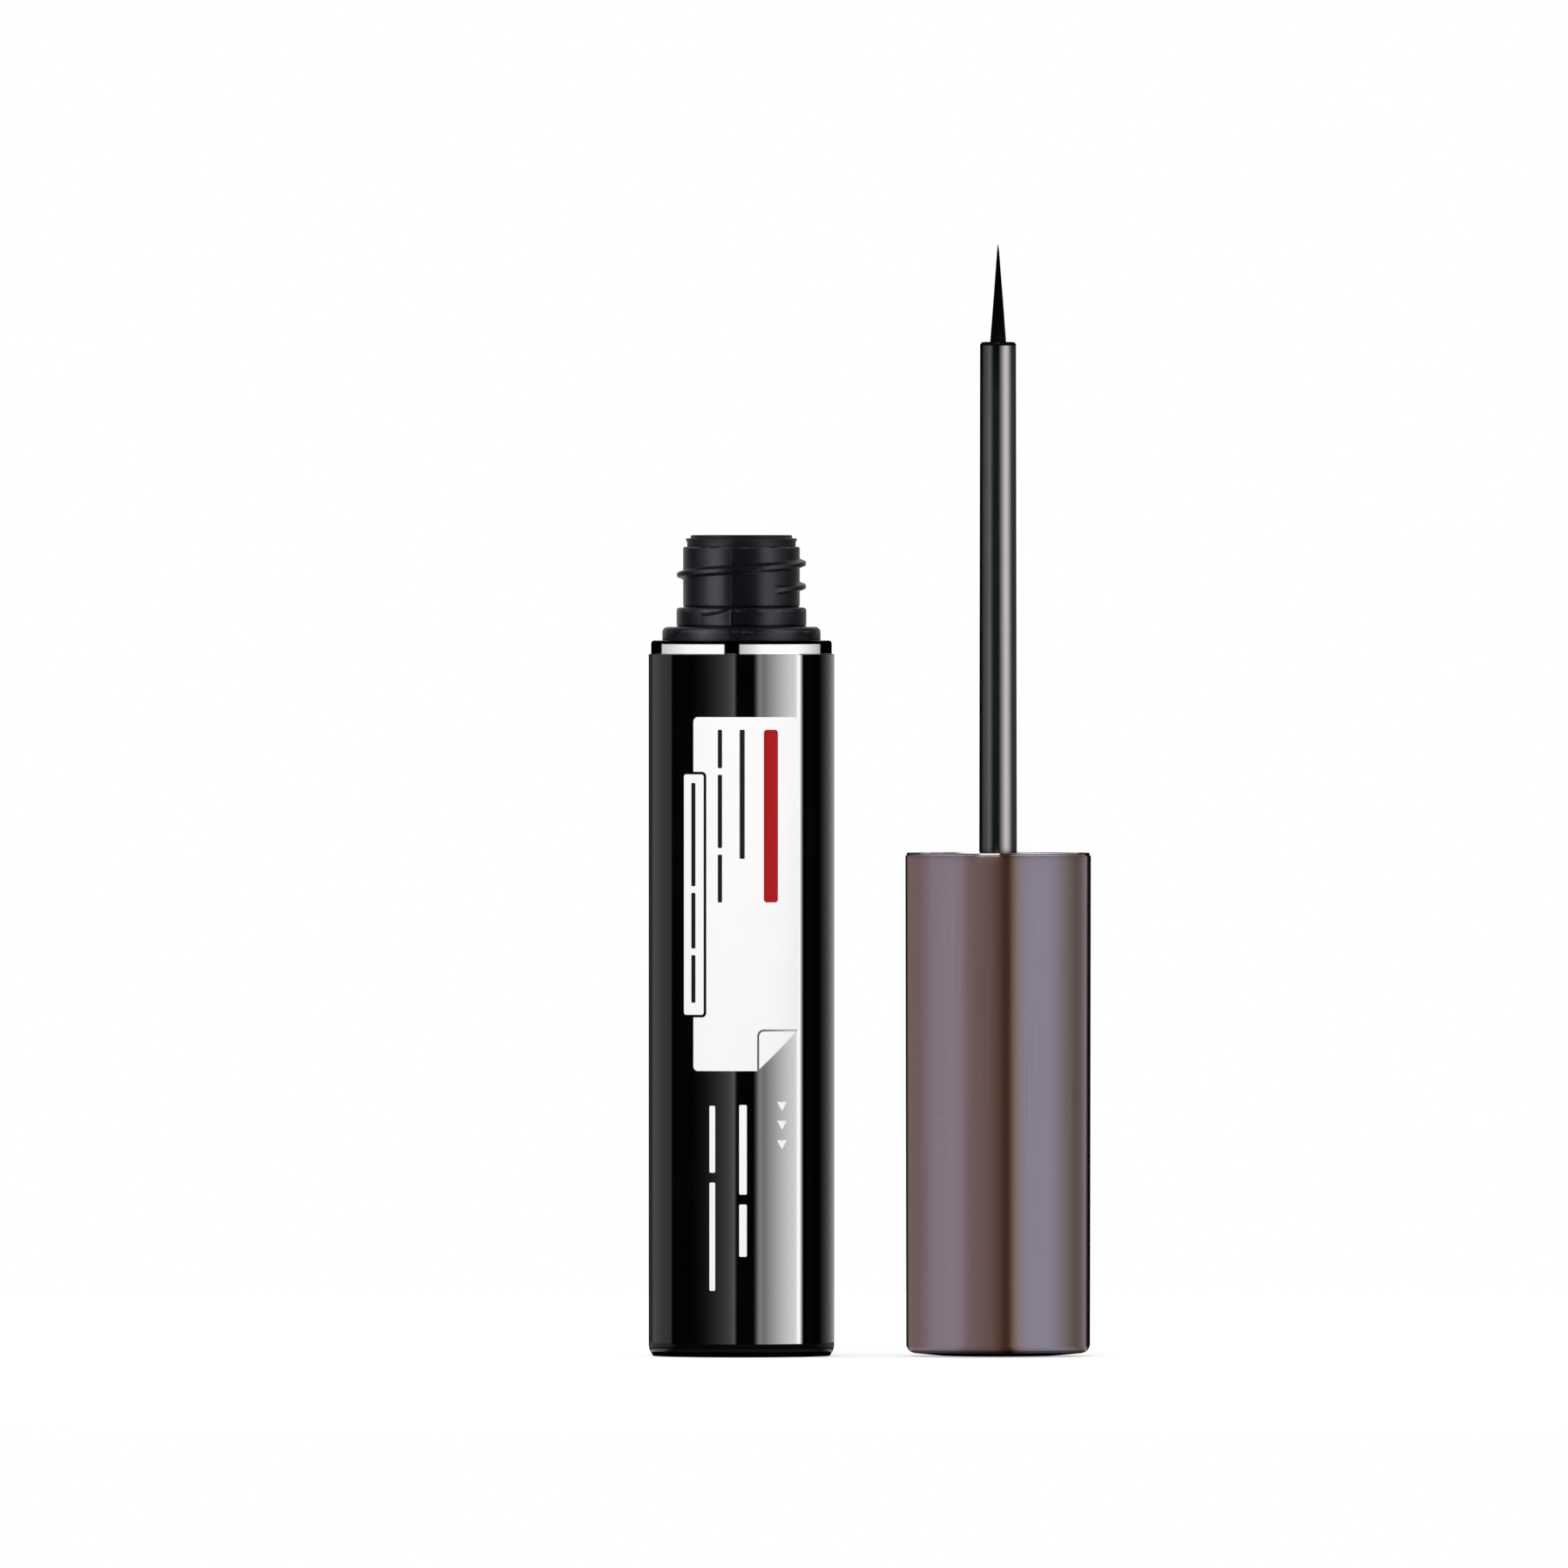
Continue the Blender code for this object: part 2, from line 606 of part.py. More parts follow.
def cap_gasket():
    """Soft washer round the stem that seals on the wiper's lip."""
    high = CAP_HEIGHT - GASKET_FACE_DEPTH
    outline = [
        (STEM_RADIUS + FIT_GAP, high),
        (CAP_THREAD_WALL - GASKET_INSET, high),
        (CAP_THREAD_WALL - GASKET_INSET, high - GASKET_THICKNESS),
        (STEM_RADIUS + FIT_GAP, high - GASKET_THICKNESS),
    ]
    return turned("cap_gasket", outline, BORE_STEPS, closed=True)


def wand_stem():
    """Slim tapered rod: socket for the brush, collar on the gasket, and a beaded tail in the boss."""
    end = CAP_HEIGHT + STEM_REACH
    collar_base = CAP_HEIGHT - GASKET_FACE_DEPTH + SEAT_GAP
    collar_top = collar_base + STEM_COLLAR_HEIGHT
    tail_top = CAP_HEIGHT - WEB_DEPTH - WEB_THICKNESS
    tail_end = tail_top - STEM_TAIL
    socket = FERRULE_RADIUS + SEAT_GAP
    outline = rounded(
        [
            (0, end - SOCKET_DEPTH),
            (socket, end - SOCKET_DEPTH),
            (socket, end),
            (STEM_END_RADIUS, end, STEM_ROUND),
            (STEM_RADIUS, CAP_HEIGHT),
            (STEM_RADIUS, collar_top),
            (STEM_RADIUS + STEM_COLLAR_OVERHANG, collar_top, RIM_BREAK),
            (STEM_RADIUS + STEM_COLLAR_OVERHANG, collar_base),
            (STEM_RADIUS, collar_base),
            *bead(STEM_RADIUS, tail_end + STEM_BEAD_DEPTH, STEM_BEAD, STEM_BEAD_WIDTH),
            (STEM_RADIUS, tail_end + STEM_TAIL_BREAK),
            (STEM_RADIUS - STEM_TAIL_BREAK, tail_end),
            (0, tail_end),
        ]
    )
    return turned("wand_stem", outline, SLIM_STEPS)


def brush_ferrule():
    """Thin sleeve that holds the tuft's root in the stem's socket."""
    high = CAP_HEIGHT + STEM_REACH - FERRULE_INSET
    outline = [
        (FERRULE_BORE, high),
        (FERRULE_RADIUS, high),
        (FERRULE_RADIUS, high - FERRULE_LENGTH),
        (FERRULE_BORE, high - FERRULE_LENGTH),
    ]
    return turned("brush_ferrule", outline, SLIM_STEPS, closed=True)


def round_hexagon(corner):
    """Moves a point of the unit hexagon so that each hexagonal ring becomes an evenly spaced circle."""
    sector_span = 2 * math.pi / HEXAGON_SIDES
    turn = math.atan2(corner.co.y, corner.co.x) % (2 * math.pi)
    sector = min(HEXAGON_SIDES - 1, int(turn / sector_span))
    inside = turn - sector * sector_span
    along = math.sin(inside) / (math.sin(inside) + math.sin(sector_span - inside))
    apothem = math.cos(sector_span / 2)
    ring = math.hypot(corner.co.x, corner.co.y) * math.cos(inside - sector_span / 2) / apothem
    corner.co.x = ring * math.cos((sector + along) * sector_span)
    corner.co.y = ring * math.sin((sector + along) * sector_span)


def brush_tuft():
    """Fine strands that draw together to a point, each a three-sided taper on its own cell of the root.

    At every height each strand stands at its root's place drawn in by the tuft's own taper, so none cross.
    """
    shape = bmesh.new()
    bmesh.ops.create_circle(shape, cap_ends=True, cap_tris=True, segments=HEXAGON_SIDES, radius=1)
    for corner in shape.verts:
        corner.co.x, corner.co.y = corner.co.y, -corner.co.x  # a quarter turn, to bring one corner onto +X
    bmesh.ops.subdivide_edges(shape, edges=shape.edges, cuts=STRAND_RINGS - 1, use_grid_fill=True)
    for corner in shape.verts:
        if corner.co.length > 1 / (2 * STRAND_RINGS):
            round_hexagon(corner)
    root_top = CAP_HEIGHT + STEM_REACH - FERRULE_INSET
    for corner in shape.verts:
        corner.co = (corner.co.x * TUFT_RADIUS, corner.co.y * TUFT_RADIUS, root_top)
    cells = list(shape.faces)
    underside = bmesh.ops.extrude_face_region(shape, geom=cells)["geom"]
    lowered = [item for item in underside if isinstance(item, bmesh.types.BMVert)]
    bmesh.ops.translate(shape, verts=lowered, vec=(0, 0, -TUFT_ROOT))
    base = [item for item in underside if isinstance(item, bmesh.types.BMFace)]
    bmesh.ops.dissolve_faces(shape, faces=base)
    bmesh.ops.inset_individual(shape, faces=cells, thickness=STRAND_GAP, use_even_offset=True)
    strands = bmesh.ops.extrude_discrete_faces(shape, faces=cells)["faces"]
    for index, strand in enumerate(strands):
        centre = strand.calc_center_median()
        ring = math.hypot(centre.x, centre.y) / TUFT_RADIUS
        spread = (index * GOLDEN_SHARE) % 1
        share = 1 - SHORT_STRAND_SHARE * ring * spread
        drawn = 1 + (TUFT_TIP_DIAMETER / TUFT_DIAMETER - 1) * share
        top = CAP_HEIGHT + STEM_REACH + TUFT_REACH * share
        for corner in strand.verts:
            arm = (corner.co - centre) * STRAND_TIP_SHARE
            corner.co = ((centre.x + arm.x) * drawn, (centre.y + arm.y) * drawn, top)
    bmesh.ops.recalc_face_normals(shape, faces=shape.faces)
    mesh = bpy.data.meshes.new("brush_tuft")
    shape.to_mesh(mesh)
    shape.free()
    return mesh


def mixing_ball():
    """Steel ball that stirs the liquid when the bottle is shaken, centred on its own origin."""
    shape = bmesh.new()
    bmesh.ops.create_uvsphere(
        shape, u_segments=BALL_SEGMENTS, v_segments=BALL_RINGS, radius=BALL_DIAMETER / 2
    )
    mesh = bpy.data.meshes.new("mixing_ball")
    shape.to_mesh(mesh)
    shape.free()
    return mesh


def main():
    for left_over in list(bpy.data.objects):
        bpy.data.objects.remove(left_over)

    eyeliner = bpy.data.collections.new("eyeliner")
    bpy.context.scene.collection.children.link(eyeliner)

    gloss_black = material("gloss black lacquer", (0.008, 0.008, 0.009), 0.08)
    moulded_black = material("moulded black plastic", (0.016, 0.016, 0.018), 0.45)
    bright_metal = material("bright metal", (0.82, 0.82, 0.83), 0.06, metallic=1.0)
    bronze = material("bronze brown metal", (0.20, 0.15, 0.15), 0.28, metallic=1.0)
    stem_black = material("satin black plastic", (0.03, 0.03, 0.032), 0.25)
    soft_black = material("soft black plastic", (0.014, 0.014, 0.016), 0.5)
    gasket_grey = material("gasket foam", (0.45, 0.45, 0.44), 0.8)
    brass = material("brass", (0.75, 0.55, 0.28), 0.3, metallic=1.0)
    bristle_black = material("inked bristle", (0.006, 0.006, 0.007), 0.35)
    steel = material("polished steel", (0.62, 0.63, 0.65), 0.12, metallic=1.0)

    bottle = linked("bottle", None, eyeliner)
    for name, mesh, paint in (
        ("bottle_sleeve", bottle_sleeve(), gloss_black),
        ("inner_bottle", inner_bottle(), moulded_black),
        ("collar_ring", collar_ring(), bright_metal),
        ("wiper", wiper(), soft_black),
    ):
        linked(name, smooth(mesh, paint), eyeliner, bottle)

    ball_height = VIAL_FLOOR_TOP + SEAT_GAP + BALL_DIAMETER / 2
    ball = linked("mixing_ball", smooth(mixing_ball(), steel), eyeliner, bottle)
    ball.location = (0, 0, ball_height)

    # The cap and all that it carries lift together from this empty
    cap = linked("cap", None, eyeliner)
    cap.location = (CAP_SPACING, 0, 0)
    for name, mesh, paint in (
        ("cap_shell", cap_shell(), bronze),
        ("cap_rim_ring", cap_rim_ring(), bright_metal),
        ("inner_cap", inner_cap(), moulded_black),
        ("cap_gasket", cap_gasket(), gasket_grey),
        ("wand_stem", wand_stem(), stem_black),
        ("brush_ferrule", brush_ferrule(), brass),
        ("brush_tuft", brush_tuft(), bristle_black),
    ):
        linked(name, smooth(mesh, paint), eyeliner, cap)


main()
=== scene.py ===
import math

import bpy
import numpy as np
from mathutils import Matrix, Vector


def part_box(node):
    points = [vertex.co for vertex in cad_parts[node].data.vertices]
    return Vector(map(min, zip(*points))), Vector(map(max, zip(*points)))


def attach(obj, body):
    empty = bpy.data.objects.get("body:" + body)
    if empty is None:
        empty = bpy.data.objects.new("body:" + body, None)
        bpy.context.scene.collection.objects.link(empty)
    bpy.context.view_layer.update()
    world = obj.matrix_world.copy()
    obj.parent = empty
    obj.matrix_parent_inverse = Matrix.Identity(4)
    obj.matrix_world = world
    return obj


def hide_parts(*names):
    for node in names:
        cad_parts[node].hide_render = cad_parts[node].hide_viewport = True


# An opened liquid eyeliner: the bottle stands upright, and its cap stands upside down beside it, wand up.
# Shapes are worked out in millimetres and put into the frame in metres.

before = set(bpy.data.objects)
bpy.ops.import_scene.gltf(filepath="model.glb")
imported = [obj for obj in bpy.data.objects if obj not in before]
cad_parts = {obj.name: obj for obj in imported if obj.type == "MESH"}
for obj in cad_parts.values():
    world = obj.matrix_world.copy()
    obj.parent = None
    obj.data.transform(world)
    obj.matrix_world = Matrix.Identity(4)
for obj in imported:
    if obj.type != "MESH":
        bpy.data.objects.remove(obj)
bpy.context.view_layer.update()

# Sizes in millimetres, from the boxes of the solids
MM = 0.001
BODY_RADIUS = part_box("bottle_sleeve")[1].x / MM
CAP_AXIS = (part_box("cap_shell")[0].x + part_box("cap_shell")[1].x) / 2 / MM
SLEEVE_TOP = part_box("bottle_sleeve")[1].z / MM
COLLAR_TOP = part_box("collar_ring")[1].z / MM
COLLAR_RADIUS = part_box("collar_ring")[1].x / MM
NECK_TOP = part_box("inner_bottle")[1].z / MM
WIPER_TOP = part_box("wiper")[1].z / MM
SHELL_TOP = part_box("cap_shell")[1].z / MM
CAP_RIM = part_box("cap_rim_ring")[1].z / MM
INNER_CAP_FOOT, INNER_CAP_MOUTH = (corner.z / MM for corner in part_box("inner_cap"))
GASKET_BASE, GASKET_TOP = (corner.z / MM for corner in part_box("cap_gasket"))
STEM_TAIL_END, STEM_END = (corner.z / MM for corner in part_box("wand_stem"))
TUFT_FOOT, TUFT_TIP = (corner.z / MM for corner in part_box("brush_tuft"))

# Sizes in millimetres that the boxes don't give
TOUCH = 0.006  # gap in view between pieces that rest on each other
SEAT = 0.05  # gap out of view between pieces that rest on each other
SLEEVE_FLOOR = 1.0
FLANGE_TOP = COLLAR_TOP + 1.25
STEP_TOP = FLANGE_TOP + 1.78
FLANGE_RADIUS = 7.25
STEP_RADIUS = 5.95
NECK_RADIUS = 5.35
NECK_BORE = 4.35
THREAD_PITCH = 2.11
THREAD_ROOT = 0.92
THREAD_CREST = 0.28
THREAD_FADE = 28.0  # degrees over which an end of the thread sinks into its wall
CAP_THREAD_RADIUS = 6.07
CAP_THREAD_TOP = INNER_CAP_MOUTH - 2.2
SKIRT_RADIUS = 7.32
RIM_RADIUS = BODY_RADIUS - 0.12
STEM_HOLE = 1.84
STEM_RADIUS = 1.74
STEM_END_RADIUS = 1.66
TUFT_RADIUS = 0.73


# Shapes


def eased(corners, arc=8, closed=False):
    """Profile through corners (radius, height, ease). An ease makes its corner an arc tangent to both sides.

    On the arc, a point is centre + ease * (cos a * u + sin a * v), u and v being square to the two sides.
    A point held a little off each end of the arc keeps the sides' shading straight.
    """
    spots = [np.array(corner[:2], float) for corner in corners]
    points = []
    for i, corner in enumerate(corners):
        ease = corner[2] if len(corner) > 2 else 0
        if not ease or (not closed and i in (0, len(corners) - 1)):
            points.append(spots[i][None])
            continue
        before, after = spots[i - 1] - spots[i], spots[(i + 1) % len(spots)] - spots[i]
        spans = np.linalg.norm(before), np.linalg.norm(after)
        before, after = before / spans[0], after / spans[1]
        half = math.acos(float(np.clip(before @ after, -1, 1))) / 2
        tangent = min(ease / math.tan(half), spans[0] * 0.49, spans[1] * 0.49)
        radius = tangent * math.tan(half)
        inwards = (before + after) / np.linalg.norm(before + after)
        centre = spots[i] + inwards * math.hypot(radius, tangent)
        start = spots[i] + before * tangent - centre
        end = spots[i] + after * tangent - centre
        share = np.linspace(0, 1, arc + 1)[:, None]
        sweep = math.acos(float(np.clip(start @ end / radius**2, -1, 1)))
        arms = (np.sin((1 - share) * sweep) * start + np.sin(share * sweep) * end) / math.sin(sweep)
        holds = [min(0.02 + 0.2 * tangent, 0.5 * (0.5 * span - tangent)) for span in spans]
        first, last = centre + arms[0] + before * holds[0], centre + arms[-1] + after * holds[1]
        points.append(np.concatenate([first[None], centre + arms, last[None]]))
    return np.concatenate(points)


def parted(profile, spacing, low, high):
    """The profile with rows added between the heights low and high, none further apart than the spacing."""
    rows = [profile[:1]]
    for start, end in zip(profile[:-1], profile[1:]):
        inside = low - 1e-6 <= min(start[1], end[1]) and max(start[1], end[1]) <= high + 1e-6
        count = max(1, math.ceil(np.linalg.norm(end - start) / spacing)) if inside else 1
        share = np.linspace(0, 1, count + 1)[1:, None]
        rows.append(start + (end - start) * share)
    return np.concatenate(rows)


def bead(radius, height, proud, width, upwards=False):
    """A soft bead on a wall: the radius stands proud by proud * cos^2 across its width."""
    along = np.linspace(1, -1, 9)
    corners = [(radius + proud * math.cos(a * math.pi / 2) ** 2, height + a * width / 2) for a in along]
    return corners[::-1] if upwards else corners


def turned(name, profile, columns, axis=0.0, shift=None, closed=False):
    """Surface of revolution: x = axis + r cos t, y = r sin t, z = z(s), with r = r(s) + shift(t, r, z).

    The profile runs down its outer side. Where it starts or ends on the axis, it closes in a pole.
    """
    profile = np.asarray(profile, float)
    poles = [] if closed else [i for i in (0, len(profile) - 1) if profile[i, 0] < 1e-9]
    rings = np.delete(profile, poles, axis=0)
    radius, height = rings[:, :1], rings[:, 1:]
    turn = np.linspace(0, 2 * math.pi, columns, endpoint=False)[None]
    if shift is not None:
        radius = radius + shift(turn, radius, height)
    x, y = axis + radius * np.cos(turn), radius * np.sin(turn)
    points = np.stack([x, y, np.broadcast_to(height, x.shape)], -1).reshape(-1, 3)
    tips = np.array([[axis, 0, profile[i, 1]] for i in poles]).reshape(-1, 3)
    index = np.arange(len(points)).reshape(x.shape)
    upper, lower = (index, np.roll(index, -1, 0)) if closed else (index[:-1], index[1:])
    quads = np.stack([upper, lower, np.roll(lower, -1, 1), np.roll(upper, -1, 1)], -1).reshape(-1, 4)
    faces = quads.tolist()
    for number, pole in enumerate(poles):
        ring = index[0] if pole == 0 else index[-1]
        near, far = (ring, np.roll(ring, -1)) if pole == 0 else (np.roll(ring, -1), ring)
        faces += np.stack([np.full_like(ring, len(points) + number), near, far], -1).tolist()
    return surface(name, np.concatenate([points, tips]), faces)


def surface(name, points, faces, sharp=38):
    """Mesh in metres of points given in millimetres, smooth but for edges sharper than the angle."""
    mesh = bpy.data.meshes.new(name)
    mesh.from_pydata((np.asarray(points) * MM).tolist(), [], faces)
    mesh.update()
    mesh.shade_smooth()
    mesh.set_sharp_from_angle(angle=math.radians(sharp))
    return mesh


def soft_step(value):
    """3v^2 - 2v^3 on a value kept between 0 and 1."""
    value = np.clip(value, 0, 1)
    return value * value * (3 - 2 * value)


def bell(offset, width):
    """e^-(offset / width)^2: 1 in the middle of a fine line, and next to nothing two widths off it."""
    return np.exp(-((offset / width) ** 2))


def on_wall(radius, wall, within=0.01):
    """Whether a row of the profile lies on the wall of this radius."""
    return np.abs(radius - wall) < within


def thread(turn, height, start_deg, low_end, turns):
    """Share of a screw ridge's depth at a turn and height: 1 on the crest, 0 off the ridge.

    The ridge's middle is at low_end + pitch * turn / 360 deg, and each end sinks away over the fade angle.
    """
    proud = 0
    for lap in range(math.ceil(turns)):
        wound = (np.degrees(turn) - start_deg) % 360 + 360 * lap
        off_middle = np.abs(height - low_end - THREAD_PITCH * wound / 360)
        flank = soft_step((THREAD_ROOT / 2 - off_middle) / ((THREAD_ROOT - THREAD_CREST) / 2))
        fade = soft_step(np.minimum(wound, 360 * turns - wound) / THREAD_FADE)
        proud = np.maximum(proud, flank * fade)
    return proud


def neck_relief(turn, radius, height):
    """Moulded relief on the neck: thread, stop lug, fine grooves at both feet and the mould's parting line.

    The lug grows with its run and drops off square. Grooves and parting line are bells across their width.
    """
    thread_depth, lug_depth, lug_edge = 0.57, 0.30, 0.14
    lug_start, lug_span, low_share, rise_share = -129.0, 30, 0.56, 0.34
    groove_depth, groove_gap, groove_width = 0.14, 0.11, 0.08
    foot_depth, foot_gap, foot_width, foot_reach = 0.10, 0.08, 0.05, 0.4
    line_height, line_width, line_turn = 0.025, 0.05, 81.0
    ridge = thread(turn, height, start_deg=-64.0, low_end=NECK_TOP - 4.01, turns=1.35)
    ridge = thread_depth * ridge * (on_wall(radius, NECK_RADIUS) & (height > STEP_TOP + 0.1))
    on_ring = on_wall(radius, STEP_RADIUS, 0.5) & (height > FLANGE_TOP) & (height < STEP_TOP)
    along = ((np.degrees(turn) - lug_start) % 360) / lug_span
    run = (along <= 1) * np.clip(along, 0, 1)
    lug_top = FLANGE_TOP + (STEP_TOP - FLANGE_TOP) * (low_share + rise_share * run**2)
    lug = lug_depth * run * soft_step((lug_top - height) / lug_edge + 0.5) * on_ring
    groove = -groove_depth * (along <= 1) * bell(height - lug_top - groove_gap, groove_width) * on_ring
    for low, wall in ((STEP_TOP, NECK_RADIUS), (FLANGE_TOP, STEP_RADIUS)):
        at_foot = on_wall(radius, wall, 0.3) & (height > low) & (height < low + foot_reach)
        groove = groove - foot_depth * bell(height - low - foot_gap, foot_width) * at_foot
    outside = (radius > NECK_RADIUS - 0.01) & (height > COLLAR_TOP)
    off_line = np.abs(np.degrees(turn) % 180 - line_turn) * math.pi / 180 * radius
    return ridge + lug + groove + line_height * bell(off_line, line_width) * outside


def inner_cap_relief(turn, radius, height):
    """Thread inside the cap, and the ribs that hold the inner cap in its shell."""
    thread_depth, turns = 0.56, 1.6
    rib_depth, half_width, flank, rib_angle, rib_top = 0.38, 0.44, 0.08, 45, INNER_CAP_MOUTH - 6.6
    low_end = CAP_THREAD_TOP - THREAD_ROOT / 2 - THREAD_PITCH * turns
    inside = on_wall(radius, CAP_THREAD_RADIUS) & (height < CAP_THREAD_TOP + 0.2)
    ridge = -thread_depth * thread(turn, height, 0.0, low_end, turns) * inside
    off_rib = (np.degrees(turn) % rib_angle - rib_angle / 2) * math.pi / 180 * radius
    rib = rib_depth * soft_step((half_width - np.abs(off_rib)) / flank)
    return ridge + rib * (on_wall(radius, SKIRT_RADIUS) & (height < rib_top))


def sleeve_shape():
    """Glossy tube with a straight wall and a curved foot on a flat base.

    At angle a down the foot, the wall is set in by c (1 - cos a), and its height is h - c sin a.
    """
    curve, foot_height, wall_low = 1.6, 1.1, 1.2
    angle = np.linspace(0, math.asin(foot_height / curve), 14)
    foot = np.stack([BODY_RADIUS - curve * (1 - np.cos(angle)), foot_height - curve * np.sin(angle)], -1)
    bore = BODY_RADIUS - 0.80
    inside = [(0, SLEEVE_FLOOR), (bore, SLEEVE_FLOOR, 0.3), (bore, SLEEVE_TOP)]
    upper = eased([*inside, (BODY_RADIUS, SLEEVE_TOP, 0.02), (BODY_RADIUS, wall_low)], 6)
    edge = eased([tuple(foot[-2]), (foot[-1, 0], 0.0, 0.05), (0, 0)], 4)
    return turned("sleeve", np.concatenate([upper, foot[:-2], edge]), 256)


def neck_shape():
    """Inner bottle with its flange, ring and threaded neck, turned from one profile with the relief on it."""
    vial, reservoir = 7.60, 6.6
    base, floor, taper_low, taper_top = SLEEVE_FLOOR + SEAT, 2.25, FLANGE_TOP - 3.8, FLANGE_TOP - 1.0
    profile = eased(
        [
            (0, floor), (reservoir, floor + 0.35, 1.2), (reservoir, taper_low, 0.6),
            (NECK_BORE, taper_top, 0.4), (NECK_BORE, NECK_TOP, 0.08), (NECK_RADIUS, NECK_TOP, 0.16),
            (NECK_RADIUS, STEP_TOP, 0.10), (STEP_RADIUS, STEP_TOP, 0.40), (STEP_RADIUS, FLANGE_TOP, 0.12),
            (FLANGE_RADIUS, FLANGE_TOP, 0.50), (FLANGE_RADIUS, SLEEVE_TOP), (vial, SLEEVE_TOP),
            *bead(vial, SLEEVE_TOP - 3.0, proud=0.15, width=1.2), (vial, base, 1.2), (0, base),
        ]
    )
    outer = np.flatnonzero(profile[:, 1] > NECK_TOP - 1e-6)[-1]
    rows = parted(profile[outer:], 0.045, FLANGE_TOP, NECK_TOP)
    return turned("neck", np.concatenate([profile[:outer], rows]), 320, shift=neck_relief)


def collar_shape():
    """Bright collar with a soft upper edge: one closed profile turned round the bottle's axis."""
    bore = COLLAR_RADIUS - 0.98
    low = SLEEVE_TOP + TOUCH
    corners = [
        (bore, COLLAR_TOP, 0.08), (COLLAR_RADIUS, COLLAR_TOP, 0.30), (COLLAR_RADIUS, low, 0.015), (bore, low),
    ]
    return turned("collar", eased(corners, 12, closed=True), 256, closed=True)


def wiper_shape():
    """Wiper: disc on the neck's rim, raised lip, tube, cone and nozzle, all with moulded soft edges."""
    plug, bore, nozzle, nozzle_bore = NECK_BORE - 0.05, NECK_BORE - 0.77, 2.54, 2.09
    disc, under_disc, lip = NECK_RADIUS - 0.20, NECK_RADIUS - 0.37, NECK_RADIUS - 0.70
    foot, disc_top = NECK_TOP + TOUCH, WIPER_TOP - 0.30
    bevel_low, cone_top, nozzle_top, nozzle_end = foot + 0.40, foot - 10.0, foot - 12.6, foot - 14.1
    corners = [
        (bore, cone_top), (bore, bevel_low, 0.2), (bore + 0.25, WIPER_TOP, 0.1), (lip, WIPER_TOP, 0.12),
        (lip, disc_top, 0.08), (disc, disc_top, 0.10), (under_disc, bevel_low, 0.06), (under_disc, foot),
        (plug, foot), *bead(plug, FLANGE_TOP - 1.4, proud=0.20, width=0.8), (plug, cone_top, 0.3),
        (nozzle, nozzle_top, 0.3), (nozzle, nozzle_end, 0.15), (nozzle_bore, nozzle_end, 0.15),
        (nozzle_bore, nozzle_top, 0.4),
    ]
    return turned("wiper", eased(corners, 7, closed=True), 192, closed=True)


def shell_shape():
    """Cap shell, mouth up: slight draft, small corner at the foot and a crowned end with a flat land."""
    bore, end, floor, crown = BODY_RADIUS - 0.70, BODY_RADIUS - 0.08, 1.1, 0.34
    land = end - 3.52
    corners = [
        (0, floor), (bore, floor, 0.85), (bore, SHELL_TOP, 0.05), (BODY_RADIUS, SHELL_TOP, 0.03),
        (end, crown, 0.85), (land, 0, 0.6), (0, 0),
    ]
    return turned("shell", eased(corners, 14), 256, CAP_AXIS)


def rim_ring_shape():
    """Bright ring at the cap's mouth: a thin rounded lip with a spigot inside the shell."""
    spigot, bore = BODY_RADIUS - 0.75, BODY_RADIUS - 1.05
    low = SHELL_TOP + TOUCH
    spigot_end = low - 1.2
    corners = [
        (bore, CAP_RIM, 0.05), (RIM_RADIUS, CAP_RIM, 0.02), (RIM_RADIUS, low, 0.02), (spigot, low),
        (spigot, spigot_end, 0.05), (bore, spigot_end, 0.05),
    ]
    return turned("rim ring", eased(corners, 8, closed=True), 256, CAP_AXIS, closed=True)


def inner_cap_shape():
    """Threaded inner cap, mouth up, with its web and the boss that grips the stem's tail."""
    mouth, skirt_bore, boss = 6.37, 6.52, 2.99
    web = GASKET_BASE - SEAT
    web_low = web - 1.2
    boss_low = web_low - 10.4
    corners = [
        (mouth, INNER_CAP_MOUTH, 0.1), (SKIRT_RADIUS, INNER_CAP_MOUTH, 0.15),
        *bead(SKIRT_RADIUS, CAP_RIM - 4.2, proud=0.50, width=1.2), (SKIRT_RADIUS, INNER_CAP_FOOT),
        (skirt_bore, INNER_CAP_FOOT), (skirt_bore, web_low), (boss, web_low), (boss, boss_low, 0.2),
        (STEM_HOLE, boss_low, 0.1), (STEM_HOLE, web), (CAP_THREAD_RADIUS, web, 0.15),
        (CAP_THREAD_RADIUS, CAP_THREAD_TOP), (mouth, INNER_CAP_MOUTH - 1.78, 0.1),
    ]
    profile = eased(corners, 6, closed=True)
    rows = parted(np.concatenate([profile, profile[:1]]), 0.06, web, CAP_THREAD_TOP + 0.01)[:-1]
    return turned("inner cap", rows, 288, CAP_AXIS, shift=inner_cap_relief, closed=True)


def gasket_shape():
    """Foam washer with slightly rounded edges: one closed profile turned round the cap's axis."""
    edge = 5.82
    corners = [
        (STEM_HOLE, GASKET_TOP), (edge, GASKET_TOP, 0.15),
        (edge, GASKET_BASE, 0.15), (STEM_HOLE, GASKET_BASE),
    ]
    return turned("gasket", eased(corners, 5, closed=True), 128, CAP_AXIS, closed=True)


